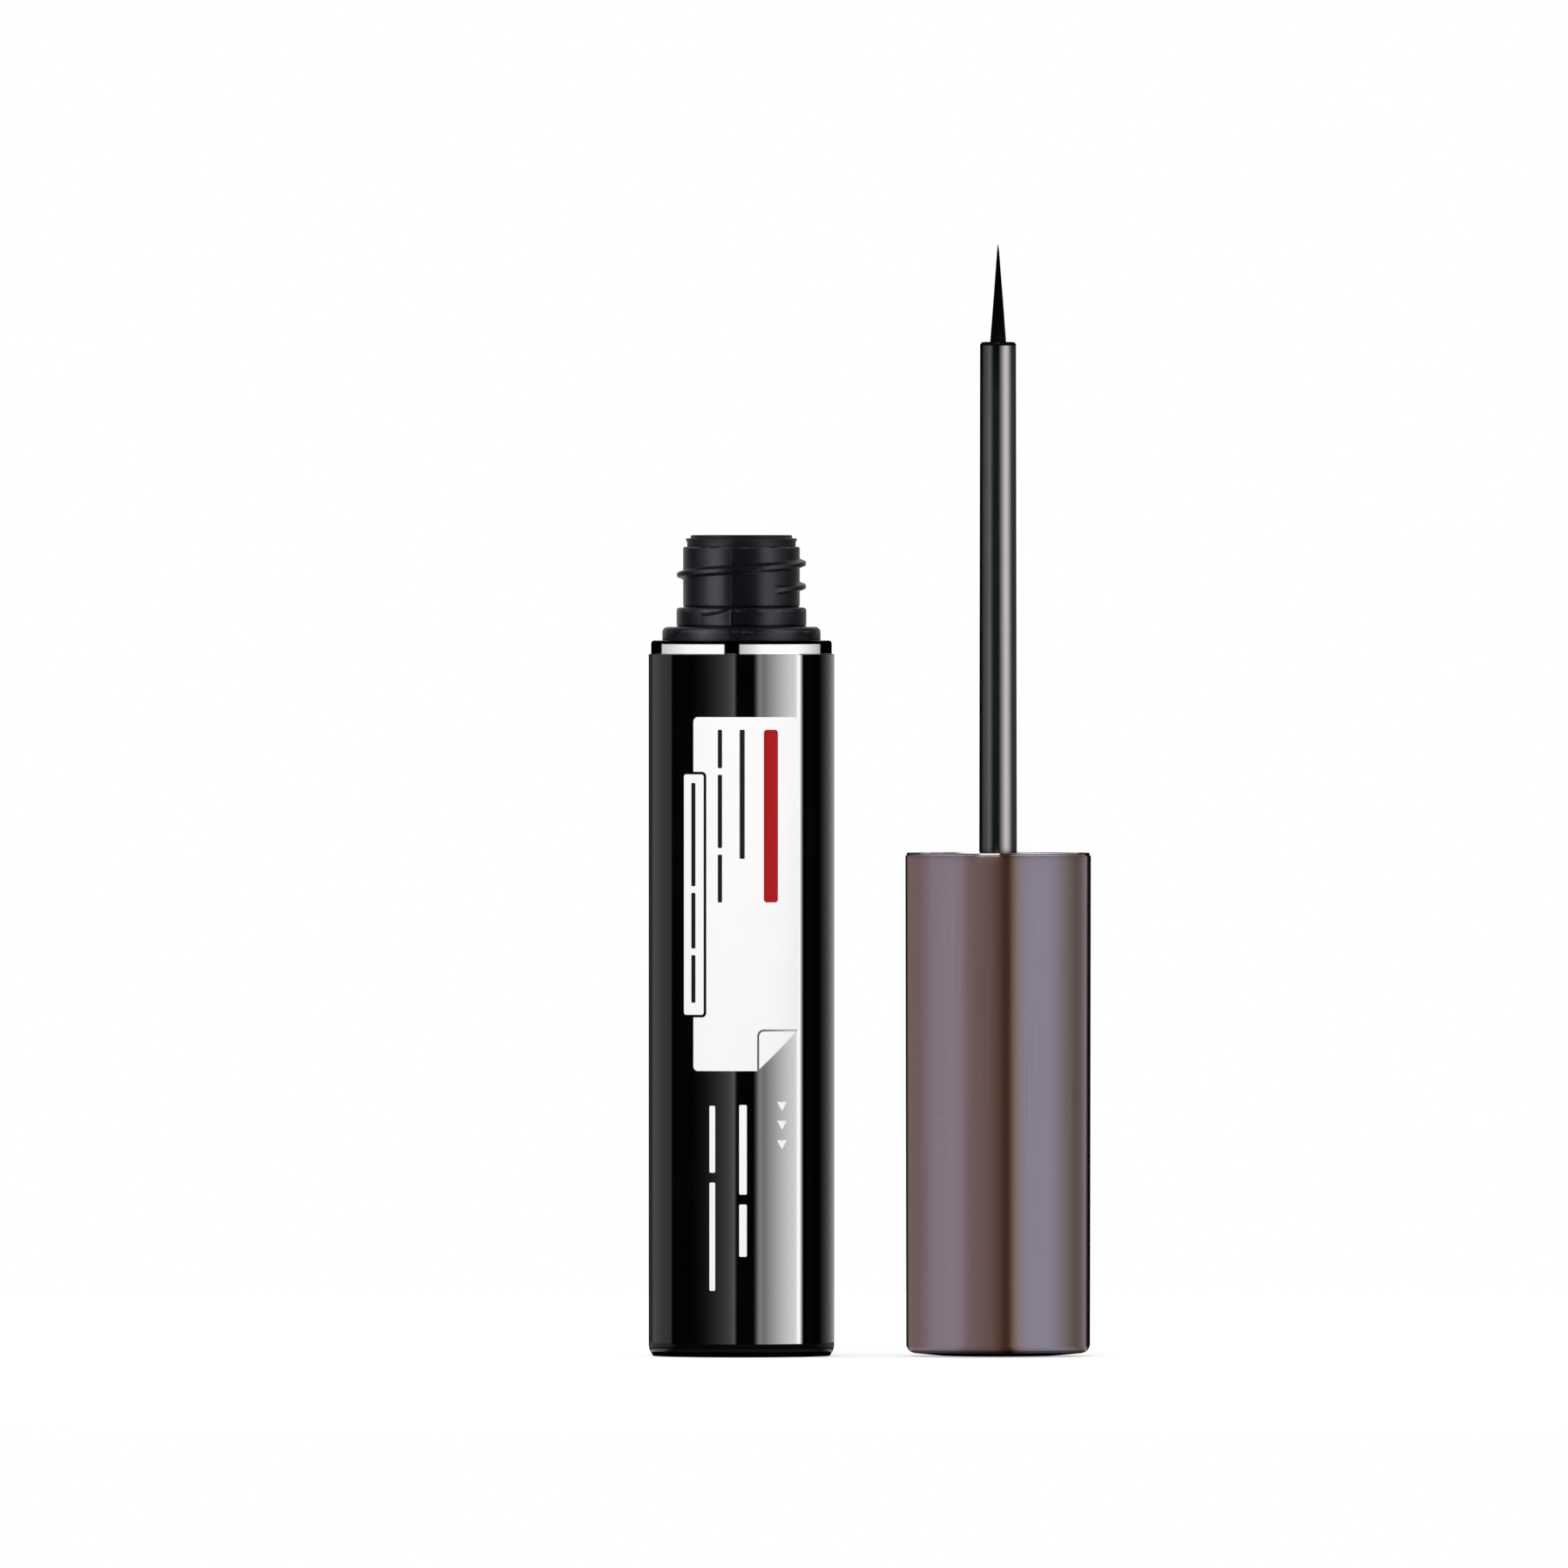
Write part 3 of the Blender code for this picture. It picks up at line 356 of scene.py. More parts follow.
def stem_shape():
    """Wand stem: slim taper with a round shoulder at its end, a socket, and a collar on the gasket."""
    socket, collar = 0.97, STEM_RADIUS + 0.86
    socket_low, collar_low = STEM_END - 4.0, GASKET_TOP + SEAT
    collar_top = collar_low + 0.8
    corners = [
        (0, socket_low), (socket, socket_low), (socket, STEM_END, 0.05), (STEM_END_RADIUS, STEM_END, 0.40),
        (STEM_RADIUS, CAP_RIM), (STEM_RADIUS, collar_top, 0.2), (collar, collar_top, 0.15),
        (collar, collar_low), (STEM_RADIUS, collar_low),
        *bead(STEM_RADIUS, STEM_TAIL_END + 2.0, proud=0.18, width=0.9),
        (STEM_RADIUS, STEM_TAIL_END, 0.3), (0, STEM_TAIL_END),
    ]
    return turned("stem", eased(corners, 12), 128, CAP_AXIS)


def tuft_shape(strands=620, rows=11):
    """Wetted tuft: strand k starts at radius R sqrt(k / n) and turn k * golden angle.

    At share s of its length, its middle is at root * (1 - d s), and it thins as it rises.
    A plain core under them closes the cone, down to the root that the ferrule grips.
    """
    drawn_share, shorter_share, sway_share, thin_share, tip_share = 0.93, 0.22, 0.012, 0.80, 0.35
    thickness, inset, core_tip, waves, stagger = 0.034, 0.01, TUFT_TIP - 0.9, 5, 2.4
    golden = math.pi * (3 - math.sqrt(5))
    low = STEM_END - 0.15
    k = np.arange(strands) + 0.5
    root_radius = (TUFT_RADIUS - inset) * np.sqrt(k / strands)
    root = np.stack([root_radius * np.cos(k * golden), root_radius * np.sin(k * golden)], -1)
    uneven = (k * (math.sqrt(5) - 1) / 2) % 1
    shorter = 1 - shorter_share * (root_radius / TUFT_RADIUS) * uneven**2
    share = np.linspace(0, 1, rows)[None, :, None] * shorter[:, None, None]
    sway = sway_share * np.sin(share * waves + (k * stagger)[:, None, None]) * np.sin(share * math.pi)
    middle = root[:, None, :] * (1 - drawn_share * share + sway)
    height = low + (TUFT_TIP - low) * share
    end = np.where(np.arange(rows) == rows - 1, tip_share, 1.0)
    thick = thickness * (1 - thin_share * share) * end[None, :, None]
    corner = np.arange(4) * math.pi / 2
    ring = np.stack([np.cos(corner), np.sin(corner)], -1)[None, None]
    across = middle[:, :, None, :] + thick[..., None] * ring
    up = np.broadcast_to(height[:, :, None, :], (*across.shape[:3], 1))
    points = np.concatenate([across, up], -1).reshape(-1, 3) + (CAP_AXIS, 0, 0)
    index = np.arange(len(points)).reshape(strands, rows, 4)
    lower, upper = index[:, :-1], index[:, 1:]
    sides = np.stack([lower, np.roll(lower, -1, 2), np.roll(upper, -1, 2), upper], -1).reshape(-1, 4)
    faces = [*sides.tolist(), *index[:, -1].tolist(), *index[:, 0, ::-1].tolist()]
    core_profile = [
        (0, core_tip), (0.06, core_tip - 0.1), (TUFT_RADIUS - inset, low), (TUFT_RADIUS, low - 0.05),
        (TUFT_RADIUS, TUFT_FOOT), (0, TUFT_FOOT),
    ]
    core = turned("core", core_profile, 48, CAP_AXIS)
    inner = np.empty(len(core.vertices) * 3)
    core.vertices.foreach_get("co", inner)
    faces += [[vertex + len(points) for vertex in face.vertices] for face in core.polygons]
    return surface("tuft", np.concatenate([points, inner.reshape(-1, 3) / MM]), faces, 60)


# Shader nodes


def add(tree, kind, inputs=None, **settings):
    """A shader node with its settings. Each input is a plain value, or the output that feeds it."""
    node = tree.nodes.new(kind)
    for name, value in settings.items():
        setattr(node, name, value)
    for name, value in (inputs or {}).items():
        if isinstance(value, bpy.types.NodeSocket):
            tree.links.new(value, node.inputs[name])
        else:
            node.inputs[name].default_value = value
    return node


def tree_of(values):
    """The node tree that a changing value among the values belongs to."""
    return next(value.id_data for value in values if isinstance(value, bpy.types.NodeSocket))


def maths(operation, *values, clamp=False):
    """Output of one Math node."""
    inputs = dict(enumerate(values))
    return add(tree_of(values), "ShaderNodeMath", inputs, operation=operation, use_clamp=clamp).outputs[0]


def taken_together(operation, first, *others):
    """Output of a row of Math nodes that take in one value after another."""
    for other in others:
        first = maths(operation, first, other)
    return first


def times(*values):
    """Product of the values."""
    return taken_together("MULTIPLY", *values)


def plus(*values):
    """Sum of the values."""
    return taken_together("ADD", *values)


def either(*values):
    """The greatest of the values, which for masks is where any of them is."""
    return taken_together("MAXIMUM", *values)


def minus(first, second):
    """The first value less the second."""
    return maths("SUBTRACT", first, second)


def gap(first, second):
    """How far two values are apart."""
    return maths("ABSOLUTE", minus(first, second))


def axes(vector):
    """Outputs X, Y and Z of a vector."""
    return add(vector.id_data, "ShaderNodeSeparateXYZ", {"Vector": vector}).outputs


def cells(vector, scale):
    """Outputs of a cell texture."""
    return add(vector.id_data, "ShaderNodeTexVoronoi", {"Vector": vector, "Scale": scale}).outputs


def ramped(value, low, high, to_low=0.0, to_high=1.0):
    """The value carried smoothly from the span low..high to to_low..to_high, and kept inside it."""
    spans = {"Value": value, "From Min": low, "From Max": high, "To Min": to_low, "To Max": to_high}
    return add(value.id_data, "ShaderNodeMapRange", spans, interpolation_type="SMOOTHSTEP").outputs[0]


def mixed(share, first, second):
    """Colour between two colours, at a share of the way from the first to the second."""
    return add(share.id_data, "ShaderNodeMix", {0: share, 6: first, 7: second}, data_type="RGBA").outputs[2]


def noise(vector, scale, detail=2.0, roughness=0.5):
    """Value of a noise texture, about 0.5 on average."""
    inputs = {"Vector": vector, "Scale": scale, "Detail": detail, "Roughness": roughness}
    return add(vector.id_data, "ShaderNodeTexNoise", inputs).outputs[0]


def stretched(vector, scale, location=(0, 0, 0)):
    """The vector scaled on each axis."""
    inputs = {"Vector": vector, "Scale": scale, "Location": location}
    return add(vector.id_data, "ShaderNodeMapping", inputs, vector_type="POINT").outputs[0]


def spaced(inputs):
    """The inputs with spaces for the underscores in their names."""
    return {name.replace("_", " "): value for name, value in inputs.items()}


def group(name, build, *vectors, **values):
    """Shader node group with named vectors and values as inputs, and the results of its build as outputs."""
    tree = bpy.data.node_groups.new(name, "ShaderNodeTree")
    for label in vectors:
        tree.interface.new_socket(label, in_out="INPUT", socket_type="NodeSocketVector")
    for label, value in spaced(values).items():
        socket = tree.interface.new_socket(label, in_out="INPUT", socket_type="NodeSocketFloat")
        socket.default_value = value
    results = build(tree.nodes.new("NodeGroupInput").outputs)
    for label in results:
        tree.interface.new_socket(label, in_out="OUTPUT", socket_type="NodeSocketFloat")
    target = tree.nodes.new("NodeGroupOutput")
    for label, socket in results.items():
        tree.links.new(socket, target.inputs[label])
    return tree


def place(shared, **inputs):
    """Outputs of a shared group placed in the material that its inputs come from."""
    return add(tree_of(inputs.values()), "ShaderNodeGroup", spaced(inputs), node_tree=shared).outputs


def moulded_grain_nodes(given):
    """Fine pebbled grain over broad, slow patches, as a polished or spark-eroded mould leaves."""
    fine = noise(given["Vector"], given["Grain Scale"], 3.0, 0.6)
    broad = noise(given["Vector"], given["Patch Scale"], 2.0)
    return {"Grain": fine, "Patch": ramped(broad, 0.3, 0.7)}


def hairline_nodes(given):
    """Sparse hairline marks: thin bands where a strongly stretched noise passes through its middle value."""
    marks = []
    for scale, shift in (((900, 900, 60), (0, 0, 0)), ((140, 420, 800), (3.1, 1.7, 0.4))):
        value = noise(stretched(given["Vector"], scale, shift), 1.0, 1.0)
        off_middle = gap(value, 0.5)
        marks.append(ramped(off_middle, 0.0, 0.006, 1.0, 0.0))
    where = ramped(noise(given["Vector"], 180.0), 0.50, 0.68)
    return {"Marks": times(either(*marks), where, given["Amount"])}


def dust_nodes(given):
    """Sparse specks, more of them on faces that look up."""
    cell = cells(given["Vector"], 1400.0)
    speck = ramped(cell["Distance"], 0.02, 0.10, 1.0, 0.0)
    chosen = maths("GREATER_THAN", noise(cell["Position"], 900.0), 0.66)
    facing = axes(add(tree_of(given), "ShaderNodeNewGeometry").outputs["Normal"])
    upward = ramped(facing["Z"], 0.2, 0.9, 0.25, 1.0)
    return {"Specks": times(speck, chosen, upward, given["Amount"])}


# Mask shared by wear on the cap and by painted highlight lines along the neck's edges
def edge_rub_and_highlight_nodes(given):
    """Wear near a rim, and on the neck also a painted highlight line along it: 1 at the rim's height, broken
    up by noise, gone a reach below it.
    """
    off = gap(axes(given["Vector"])["Z"], given["Rim Height"])
    near = maths("SUBTRACT", 1.0, maths("DIVIDE", off, given["Reach"]), clamp=True)
    broken = ramped(noise(given["Vector"], 1100.0, 3.0), 0.42, 0.62)
    return {"Rub": times(near, broken)}


def rounded_bar_nodes(given):
    """1 inside a bar with round corners. Its distance is |max(q, 0)| + min(max(qx, qy), 0) - corner."""
    spans = []
    for axis, half in (("Across", "Half Width"), ("Up", "Half Height")):
        off = gap(given[axis], given[f"Middle {axis}"])
        spans.append(minus(off, minus(given[half], given["Corner"])))
    outside = [either(span, 0.0) for span in spans]
    away = maths("SQRT", plus(*(times(span, span) for span in outside)))
    inside = maths("MINIMUM", either(*spans), 0.0)
    distance = minus(plus(away, inside), given["Corner"])
    return {"Mask": ramped(distance, -0.012, 0.012, 1.0, 0.0)}


GRAIN = group("moulded grain", moulded_grain_nodes, "Vector", Grain_Scale=6000.0, Patch_Scale=150.0)
HAIRLINES = group("hairline marks", hairline_nodes, "Vector", Amount=1.0)
DUST = group("settled dust", dust_nodes, "Vector", Amount=1.0)
EDGE_RUB_AND_HIGHLIGHT = group("edge rub and highlight", edge_rub_and_highlight_nodes, "Vector", Rim_Height=0.0, Reach=0.001)
ROUNDED_BAR = group(
    "rounded bar", rounded_bar_nodes, Across=0.0, Up=0.0, Middle_Across=0.0, Middle_Up=0.0,
    Half_Width=1.0, Half_Height=1.0, Corner=0.1,
)


def grained(where, grain_scale, patch_scale):
    """Moulded grain, as outputs Grain and Patch."""
    return place(GRAIN, Vector=where, Grain_Scale=grain_scale, Patch_Scale=patch_scale)


def hairlines(where, amount):
    """Hairline marks, as strong as the amount."""
    return place(HAIRLINES, Vector=where, Amount=amount)["Marks"]


def edge_rub_and_highlight(where, rim, reach):
    """Wear within a reach of a rim's height, both in millimetres. On the neck it also marks a painted
    highlight line.
    """
    return place(EDGE_RUB_AND_HIGHLIGHT, Vector=where, Rim_Height=rim * MM, Reach=reach * MM)["Rub"]


# Materials


def started(name, **constants):
    """New material, its Principled shader with plain constants set, and its Object coordinates."""
    made = bpy.data.materials.new(name)
    made.use_nodes = True
    tree = made.node_tree
    shader = tree.nodes["Principled BSDF"]
    for label, value in spaced(constants).items():
        shader.inputs[label].default_value = value
    return made, shader, add(tree, "ShaderNodeTexCoord").outputs["Object"]


def feed(shader, colour, roughness, height, depth, **others):
    """Links changing values to the shader. A height, as a share of the depth in millimetres, makes a bump."""
    tree = shader.id_data
    bump = add(tree, "ShaderNodeBump", {"Height": height, "Strength": 1.0, "Distance": depth * MM})
    named = {"Base Color": colour, "Roughness": roughness, "Normal": bump.outputs[0], **spaced(others)}
    for label, value in named.items():
        tree.links.new(value, shader.inputs[label])


def grey(value, warm=0.0):
    """Grey as a colour, a little warm or cool."""
    return (value * (1 + warm), value, value * (1 - warm), 1.0)


def moulded_black(name, rims):
    """Matte moulded plastic, black with a breath of violet: grain, slow sheen, hairlines and rubbed rims,
    lighter as wear and, on the neck, as painted highlight lines.
    """
    made, shader, where = started(name, IOR=1.5, Specular_IOR_Level=0.5)
    base, gloss = 0.0045, 0.30
    mould = grained(where, 5200.0, 240.0)
    marks = hairlines(where, 0.4)
    rough = ramped(mould["Patch"], 0.0, 1.0, gloss - 0.04, gloss + 0.05)
    dark, pale = (base, base * 0.95, base * 1.6, 1), (base * 1.2, base * 1.1, base * 1.9, 1)
    colour = mixed(mould["Patch"], dark, pale)
    colour = mixed(marks, colour, grey(base * 3))
    # Each rim is made glossier and lighter: wear, and on the neck also a painted highlight line along the
    # edge
    for rim in rims:
        rub_and_highlight = edge_rub_and_highlight(where, rim, 0.14)
        rough = minus(rough, times(rub_and_highlight, 0.10))
        colour = mixed(rub_and_highlight, colour, (base * 9, base * 8.5, base * 10, 1))
    feed(shader, colour, rough, plus(mould["Grain"], times(marks, -0.5)), 0.006)
    return made


def bright_plating():
    """Mirror plating with faint wipe marks and slow patches."""
    made, shader, where = started("bright plating", Metallic=1.0)
    base, gloss = 0.84, 0.035
    mould = grained(where, 2600.0, 300.0)
    marks = hairlines(where, 0.6)
    colour = mixed(mould["Patch"], grey(base), grey(base * 0.96, 0.008))
    rough = ramped(mould["Patch"], 0.0, 1.0, gloss, gloss + 0.03)
    rough = plus(rough, times(marks, 0.1))
    feed(shader, colour, rough, plus(mould["Grain"], marks), 0.0006)
    return made


# Places on the sleeve in millimetres: left and right edge from the middle in front view, lower and upper edge
PANEL_RIGHT, PANEL_LOW = 5.19, 26.20
PANEL = (-4.39, PANEL_RIGHT, PANEL_LOW, 58.57)
FOLD_LEFT, FOLD_TOP = 1.45, 30.00
TAB_OUTLINE = (-5.49, -3.21, 31.10, 53.57)
TAB = (-5.25, -3.45, 31.34, 53.33)
CRIMSON_BAR = (2.05, 3.35, 41.62, 57.42)
DARK_BARS = (
    (-0.16, 0.31, 45.61, 57.42),
    (-2.16, -1.76, 53.9, 57.42), (-2.16, -1.76, 46.6, 53.3), (-2.16, -1.76, 41.62, 46.0),
    (-4.58, -4.20, 43.1, 52.55), (-4.58, -4.20, 37.4, 42.5), (-4.58, -4.20, 32.44, 36.8),
)
WHITE_BARS = (
    (-0.20, 0.50, 14.9, 23.10), (-0.20, 0.50, 9.22, 14.0),
    (-2.92, -2.40, 16.9, 23.02), (-2.92, -2.40, 6.10, 16.0),
)
ARROW_LEFT, ARROW_RIGHT = 3.27, 4.15
ARROWS = ((23.38, 22.54), (21.65, 20.81), (19.87, 19.03))  # upper edge and tip


def arc(offset):
    """Arc length on the sleeve from the middle of its front to an offset x in front view: R asin(x / R)."""
    return BODY_RADIUS * math.asin(offset / BODY_RADIUS)


def bar(across, up, edges, corner=0.1):
    """Mask of a bar with round corners, between edges given in front view."""
    left, right, low, high = edges
    left, right = arc(left), arc(right)
    return place(
        ROUNDED_BAR, Across=across, Up=up, Middle_Across=(left + right) / 2, Middle_Up=(low + high) / 2,
        Half_Width=(right - left) / 2, Half_Height=(high - low) / 2, Corner=corner,
    )["Mask"]


def folded_panel(across, up):
    """Masks of the panel, of the line round its folded corner, and of the fold's diagonal edge.

    The diagonal is where (x - left) / width + (top - y) / height = 1. The panel is cut away beyond it.
    """
    right, low = PANEL_RIGHT, PANEL_LOW
    past = maths("DIVIDE", minus(across, arc(FOLD_LEFT)), arc(right) - arc(FOLD_LEFT))
    below = maths("DIVIDE", minus(FOLD_TOP, up), FOLD_TOP - low)
    diagonal = minus(plus(past, below), 1.0)
    in_corner = bar(across, up, (FOLD_LEFT, right + 0.5, low - 0.5, FOLD_TOP), 0.0)
    cut = times(ramped(diagonal, 0.0, 0.008), in_corner)
    panel = times(bar(across, up, PANEL, 0.45), minus(1.0, cut))
    line, beyond = 0.17, 0.9
    fold = bar(across, up, (FOLD_LEFT, right + beyond, low - beyond, FOLD_TOP), 0.62)
    inside = bar(across, up, (FOLD_LEFT + line, right + beyond, low - beyond, FOLD_TOP - line), 0.48)
    fold_line = times(fold, minus(1.0, inside), panel)
    near = ramped(maths("ABSOLUTE", diagonal), 0.006, 0.022, 1.0, 0.0)
    return panel, fold_line, times(near, in_corner)


def arrow_masks(across, up):
    """Masks of the arrows, whose width falls evenly from the upper edge to the tip."""
    left, right = arc(ARROW_LEFT), arc(ARROW_RIGHT)
    for top, tip in ARROWS:
        width = times(minus(up, tip), (right - left) / 2 / (top - tip))
        off = gap(across, (left + right) / 2)
        inside = ramped(minus(off, width), -0.01, 0.01, 1.0, 0.0)
        yield times(inside, maths("LESS_THAN", up, top))


def sleeve_lacquer():
    """Deep gloss black with the label's panel, tab, folded corner, plain bars and arrows in ink.

    Across is the arc length from the middle of the front, and up is the height, both in millimetres.
    """
    made, shader, where = started(
        "gloss black lacquer", IOR=1.5, Specular_IOR_Level=0.2, Coat_IOR=2.0, Coat_Roughness=0.02
    )
    spot = axes(where)
    turn = maths("ARCTAN2", spot["X"], times(spot["Y"], -1.0))
    across = times(turn, BODY_RADIUS)
    up = maths("DIVIDE", spot["Z"], MM)
    panel, fold_line, fold_edge = folded_panel(across, up)
    tab_outline, tab = bar(across, up, TAB_OUTLINE, 0.42), bar(across, up, TAB, 0.22)
    crimson = bar(across, up, CRIMSON_BAR, 0.3)
    dark_bars = either(*(bar(across, up, edges) for edges in DARK_BARS))
    white_bars = either(*(bar(across, up, edges, 0.12) for edges in WHITE_BARS))
    arrows = either(*arrow_masks(across, up))

    mould = grained(where, 900.0, 120.0)
    marks = hairlines(where, 0.35)
    specks = place(DUST, Vector=where, Amount=0.5)["Specks"]
    black = mixed(mould["Patch"], grey(0.0010), grey(0.0018, -0.05))
    black = mixed(specks, black, grey(0.05))
    white = mixed(mould["Patch"], grey(0.97), grey(0.95))
    colour = mixed(either(panel, arrows, white_bars), black, white)
    colour = mixed(tab_outline, colour, grey(0.001))
    colour = mixed(tab, colour, white)
    fade = ramped(across, arc(FOLD_LEFT), arc(PANEL_RIGHT), 0.95, 0.55)
    colour = mixed(times(fold_line, fade), colour, grey(0.02))
    colour = mixed(times(fold_edge, 0.35), colour, grey(0.3))
    colour = mixed(dark_bars, colour, grey(0.012))
    colour = mixed(crimson, colour, (0.36, 0.001, 0.002, 1.0))

    ink = either(panel, tab, arrows, white_bars, tab_outline)
    gloss = ramped(mould["Patch"], 0.0, 1.0, 0.03, 0.05)
    gloss = plus(gloss, times(marks, 0.06))
    rough = either(gloss, times(ink, 0.62))
    height = plus(times(mould["Grain"], 0.02), times(ink, 0.2))
    feed(shader, colour, rough, height, 0.01, Coat_Weight=minus(1.0, ink))
    return made


def shell_lacquer():
    """Satin bronze-brown metal: lengthwise brushing under a clear coat, hairlines and a rubbed rim. The
    mauve-grey in its sheen is not in this finish but painted into the tinted glow of the cap's reflector
    tent.
    """
    made, shader, where = started(
        "satin bronze brown metal", Metallic=1.0, Coat_Weight=1.0, Coat_IOR=1.6, Coat_Roughness=0.15
    )
    brushed = noise(stretched(where, (7000, 7000, 90), (0.5, 0.2, 0.1)), 1.0, 3.0, 0.65)
    mould = grained(where, 2500.0, 90.0)
    marks = hairlines(where, 0.35)
    worn = either(marks, edge_rub_and_highlight(where, SHELL_TOP, 0.1))
    colour = mixed(ramped(brushed, 0.3, 0.7), (0.175, 0.130, 0.128, 1), (0.20, 0.150, 0.148, 1))
    colour = mixed(mould["Patch"], colour, (0.19, 0.143, 0.143, 1))
    colour = mixed(times(worn, 0.4), colour, (0.45, 0.37, 0.33, 1))
    rough = plus(ramped(brushed, 0.3, 0.7, 0.18, 0.24), times(marks, 0.1))
    feed(shader, colour, rough, minus(brushed, marks), 0.0012)
    return made


def stem_plastic():
    """Semi-gloss black stem: faint flow lines along it, wipe marks and a smear of liquid near the brush."""
    made, shader, where = started(
        "semi-gloss black stem", IOR=1.5, Specular_IOR_Level=0.8, Coat_Weight=0.6, Coat_Roughness=0.08
    )
    flow = noise(stretched(where, (3000, 3000, 60)), 1.0, 2.0)
    mould = grained(where, 4200.0, 200.0)
    marks = hairlines(where, 0.4)
    uneven_height = plus(axes(where)["Z"], times(noise(where, 500.0), 0.004))
    smear = ramped(uneven_height, (STEM_END - 3.5) * MM, (STEM_END + 2.0) * MM)
    colour = mixed(ramped(flow, 0.3, 0.7), (0.007, 0.008, 0.009, 1), (0.010, 0.011, 0.012, 1))
    colour = mixed(smear, colour, grey(0.004))
    rough = ramped(mould["Patch"], 0.0, 1.0, 0.13, 0.18)
    rough = minus(rough, times(smear, 0.08))
    feed(shader, colour, rough, plus(times(flow, 0.6), times(marks, 0.4)), 0.0015)
    return made


def wiper_plastic():
    """Soft matte plug, wet with dried and fresh liquid inside its mouth."""
    made, shader, where = started("soft black plug with wet mouth", IOR=1.48, Specular_IOR_Level=0.5)
    spot = axes(where)
    flat = add(where.id_data, "ShaderNodeCombineXYZ", {"X": spot["X"], "Y": spot["Y"]}).outputs[0]
    out = add(where.id_data, "ShaderNodeVectorMath", {0: flat}, operation="LENGTH").outputs["Value"]
    runs = noise(stretched(where, (900, 900, 200)), 1.0, 3.0)
    edge = plus(out, times(minus(runs, 0.5), 0.6 * MM))
    wet = ramped(edge, 3.7 * MM, 4.1 * MM, 1.0, 0.0)
    mould = grained(where, 6000.0, 300.0)
    colour = mixed(mould["Patch"], (0.0046, 0.0042, 0.0060, 1), (0.0062, 0.0056, 0.0080, 1))
    colour = mixed(wet, colour, (0.010, 0.006, 0.004, 1))
    rough = mixed(wet, grey(0.46), mixed(runs, grey(0.10), grey(0.22)))
    feed(shader, colour, rough, mixed(wet, mould["Grain"], runs), 0.008)
    return made


def gasket_foam():
    """Closed-cell foam: small round cells, stained in patches by the liquid."""
    made, shader, where = started("grey foam washer", IOR=1.45, Specular_IOR_Level=0.3)
    bubbles = cells(where, 5200.0)["Distance"]
    mould = grained(where, 9000.0, 400.0)
    stain = ramped(noise(where, 330.0, 3.0), 0.55, 0.75)
    colour = mixed(ramped(bubbles, 0.0, 0.6), grey(0.34, 0.02), grey(0.48, 0.01))
    colour = mixed(times(stain, 0.7), colour, grey(0.03))
    feed(shader, colour, ramped(mould["Patch"], 0.0, 1.0, 0.75, 0.9), bubbles, 0.05)
    return made


def wet_bristle():
    """Black bristles wetted with liquid: streaks along them, glossier where the film is thick."""
    made, shader, where = started("wetted black bristle", IOR=1.5, Specular_IOR_Level=0.25)
    streaks = noise(stretched(where, (16000, 16000, 500)), 1.0, 2.0)
    film = ramped(noise(where, 900.0), 0.35, 0.65)
    colour = mixed(streaks, grey(0.0005), grey(0.0015))
    feed(shader, colour, ramped(film, 0.0, 1.0, 0.45, 0.28), streaks, 0.002)
    return made


def drawn_brass():
    """Drawn tube: fine lines round it and a dull tarnish."""
    made, shader, where = started("drawn brass tube", Metallic=1.0)
    lines = noise(stretched(where, (400, 400, 9000)), 1.0, 2.0)
    mould = grained(where, 3000.0, 700.0)
    colour = mixed(mould["Patch"], (0.72, 0.52, 0.25, 1), (0.55, 0.38, 0.18, 1))
    feed(shader, colour, ramped(lines, 0.3, 0.7, 0.24, 0.36), lines, 0.002)
    return made


def polished_steel():
    """Polished ball: tiny tumbling marks, and patches dulled by a film of liquid."""
    made, shader, where = started("polished steel ball", Metallic=1.0)
    mould = grained(where, 1800.0, 500.0)
    marks = hairlines(where, 1.0)
    colour = mixed(mould["Patch"], grey(0.62), grey(0.45, 0.02))
    rough = plus(times(marks, 0.2), ramped(mould["Grain"], 0.3, 0.7, 0.10, 0.16))
    feed(shader, colour, rough, marks, 0.001)
    return made


# Pieces


def built(name, mesh, paint):
    """A new object of the mesh in one finish."""
    mesh.materials.append(paint)
    made = bpy.data.objects.new(name, mesh)
    bpy.context.scene.collection.objects.link(made)
    return made


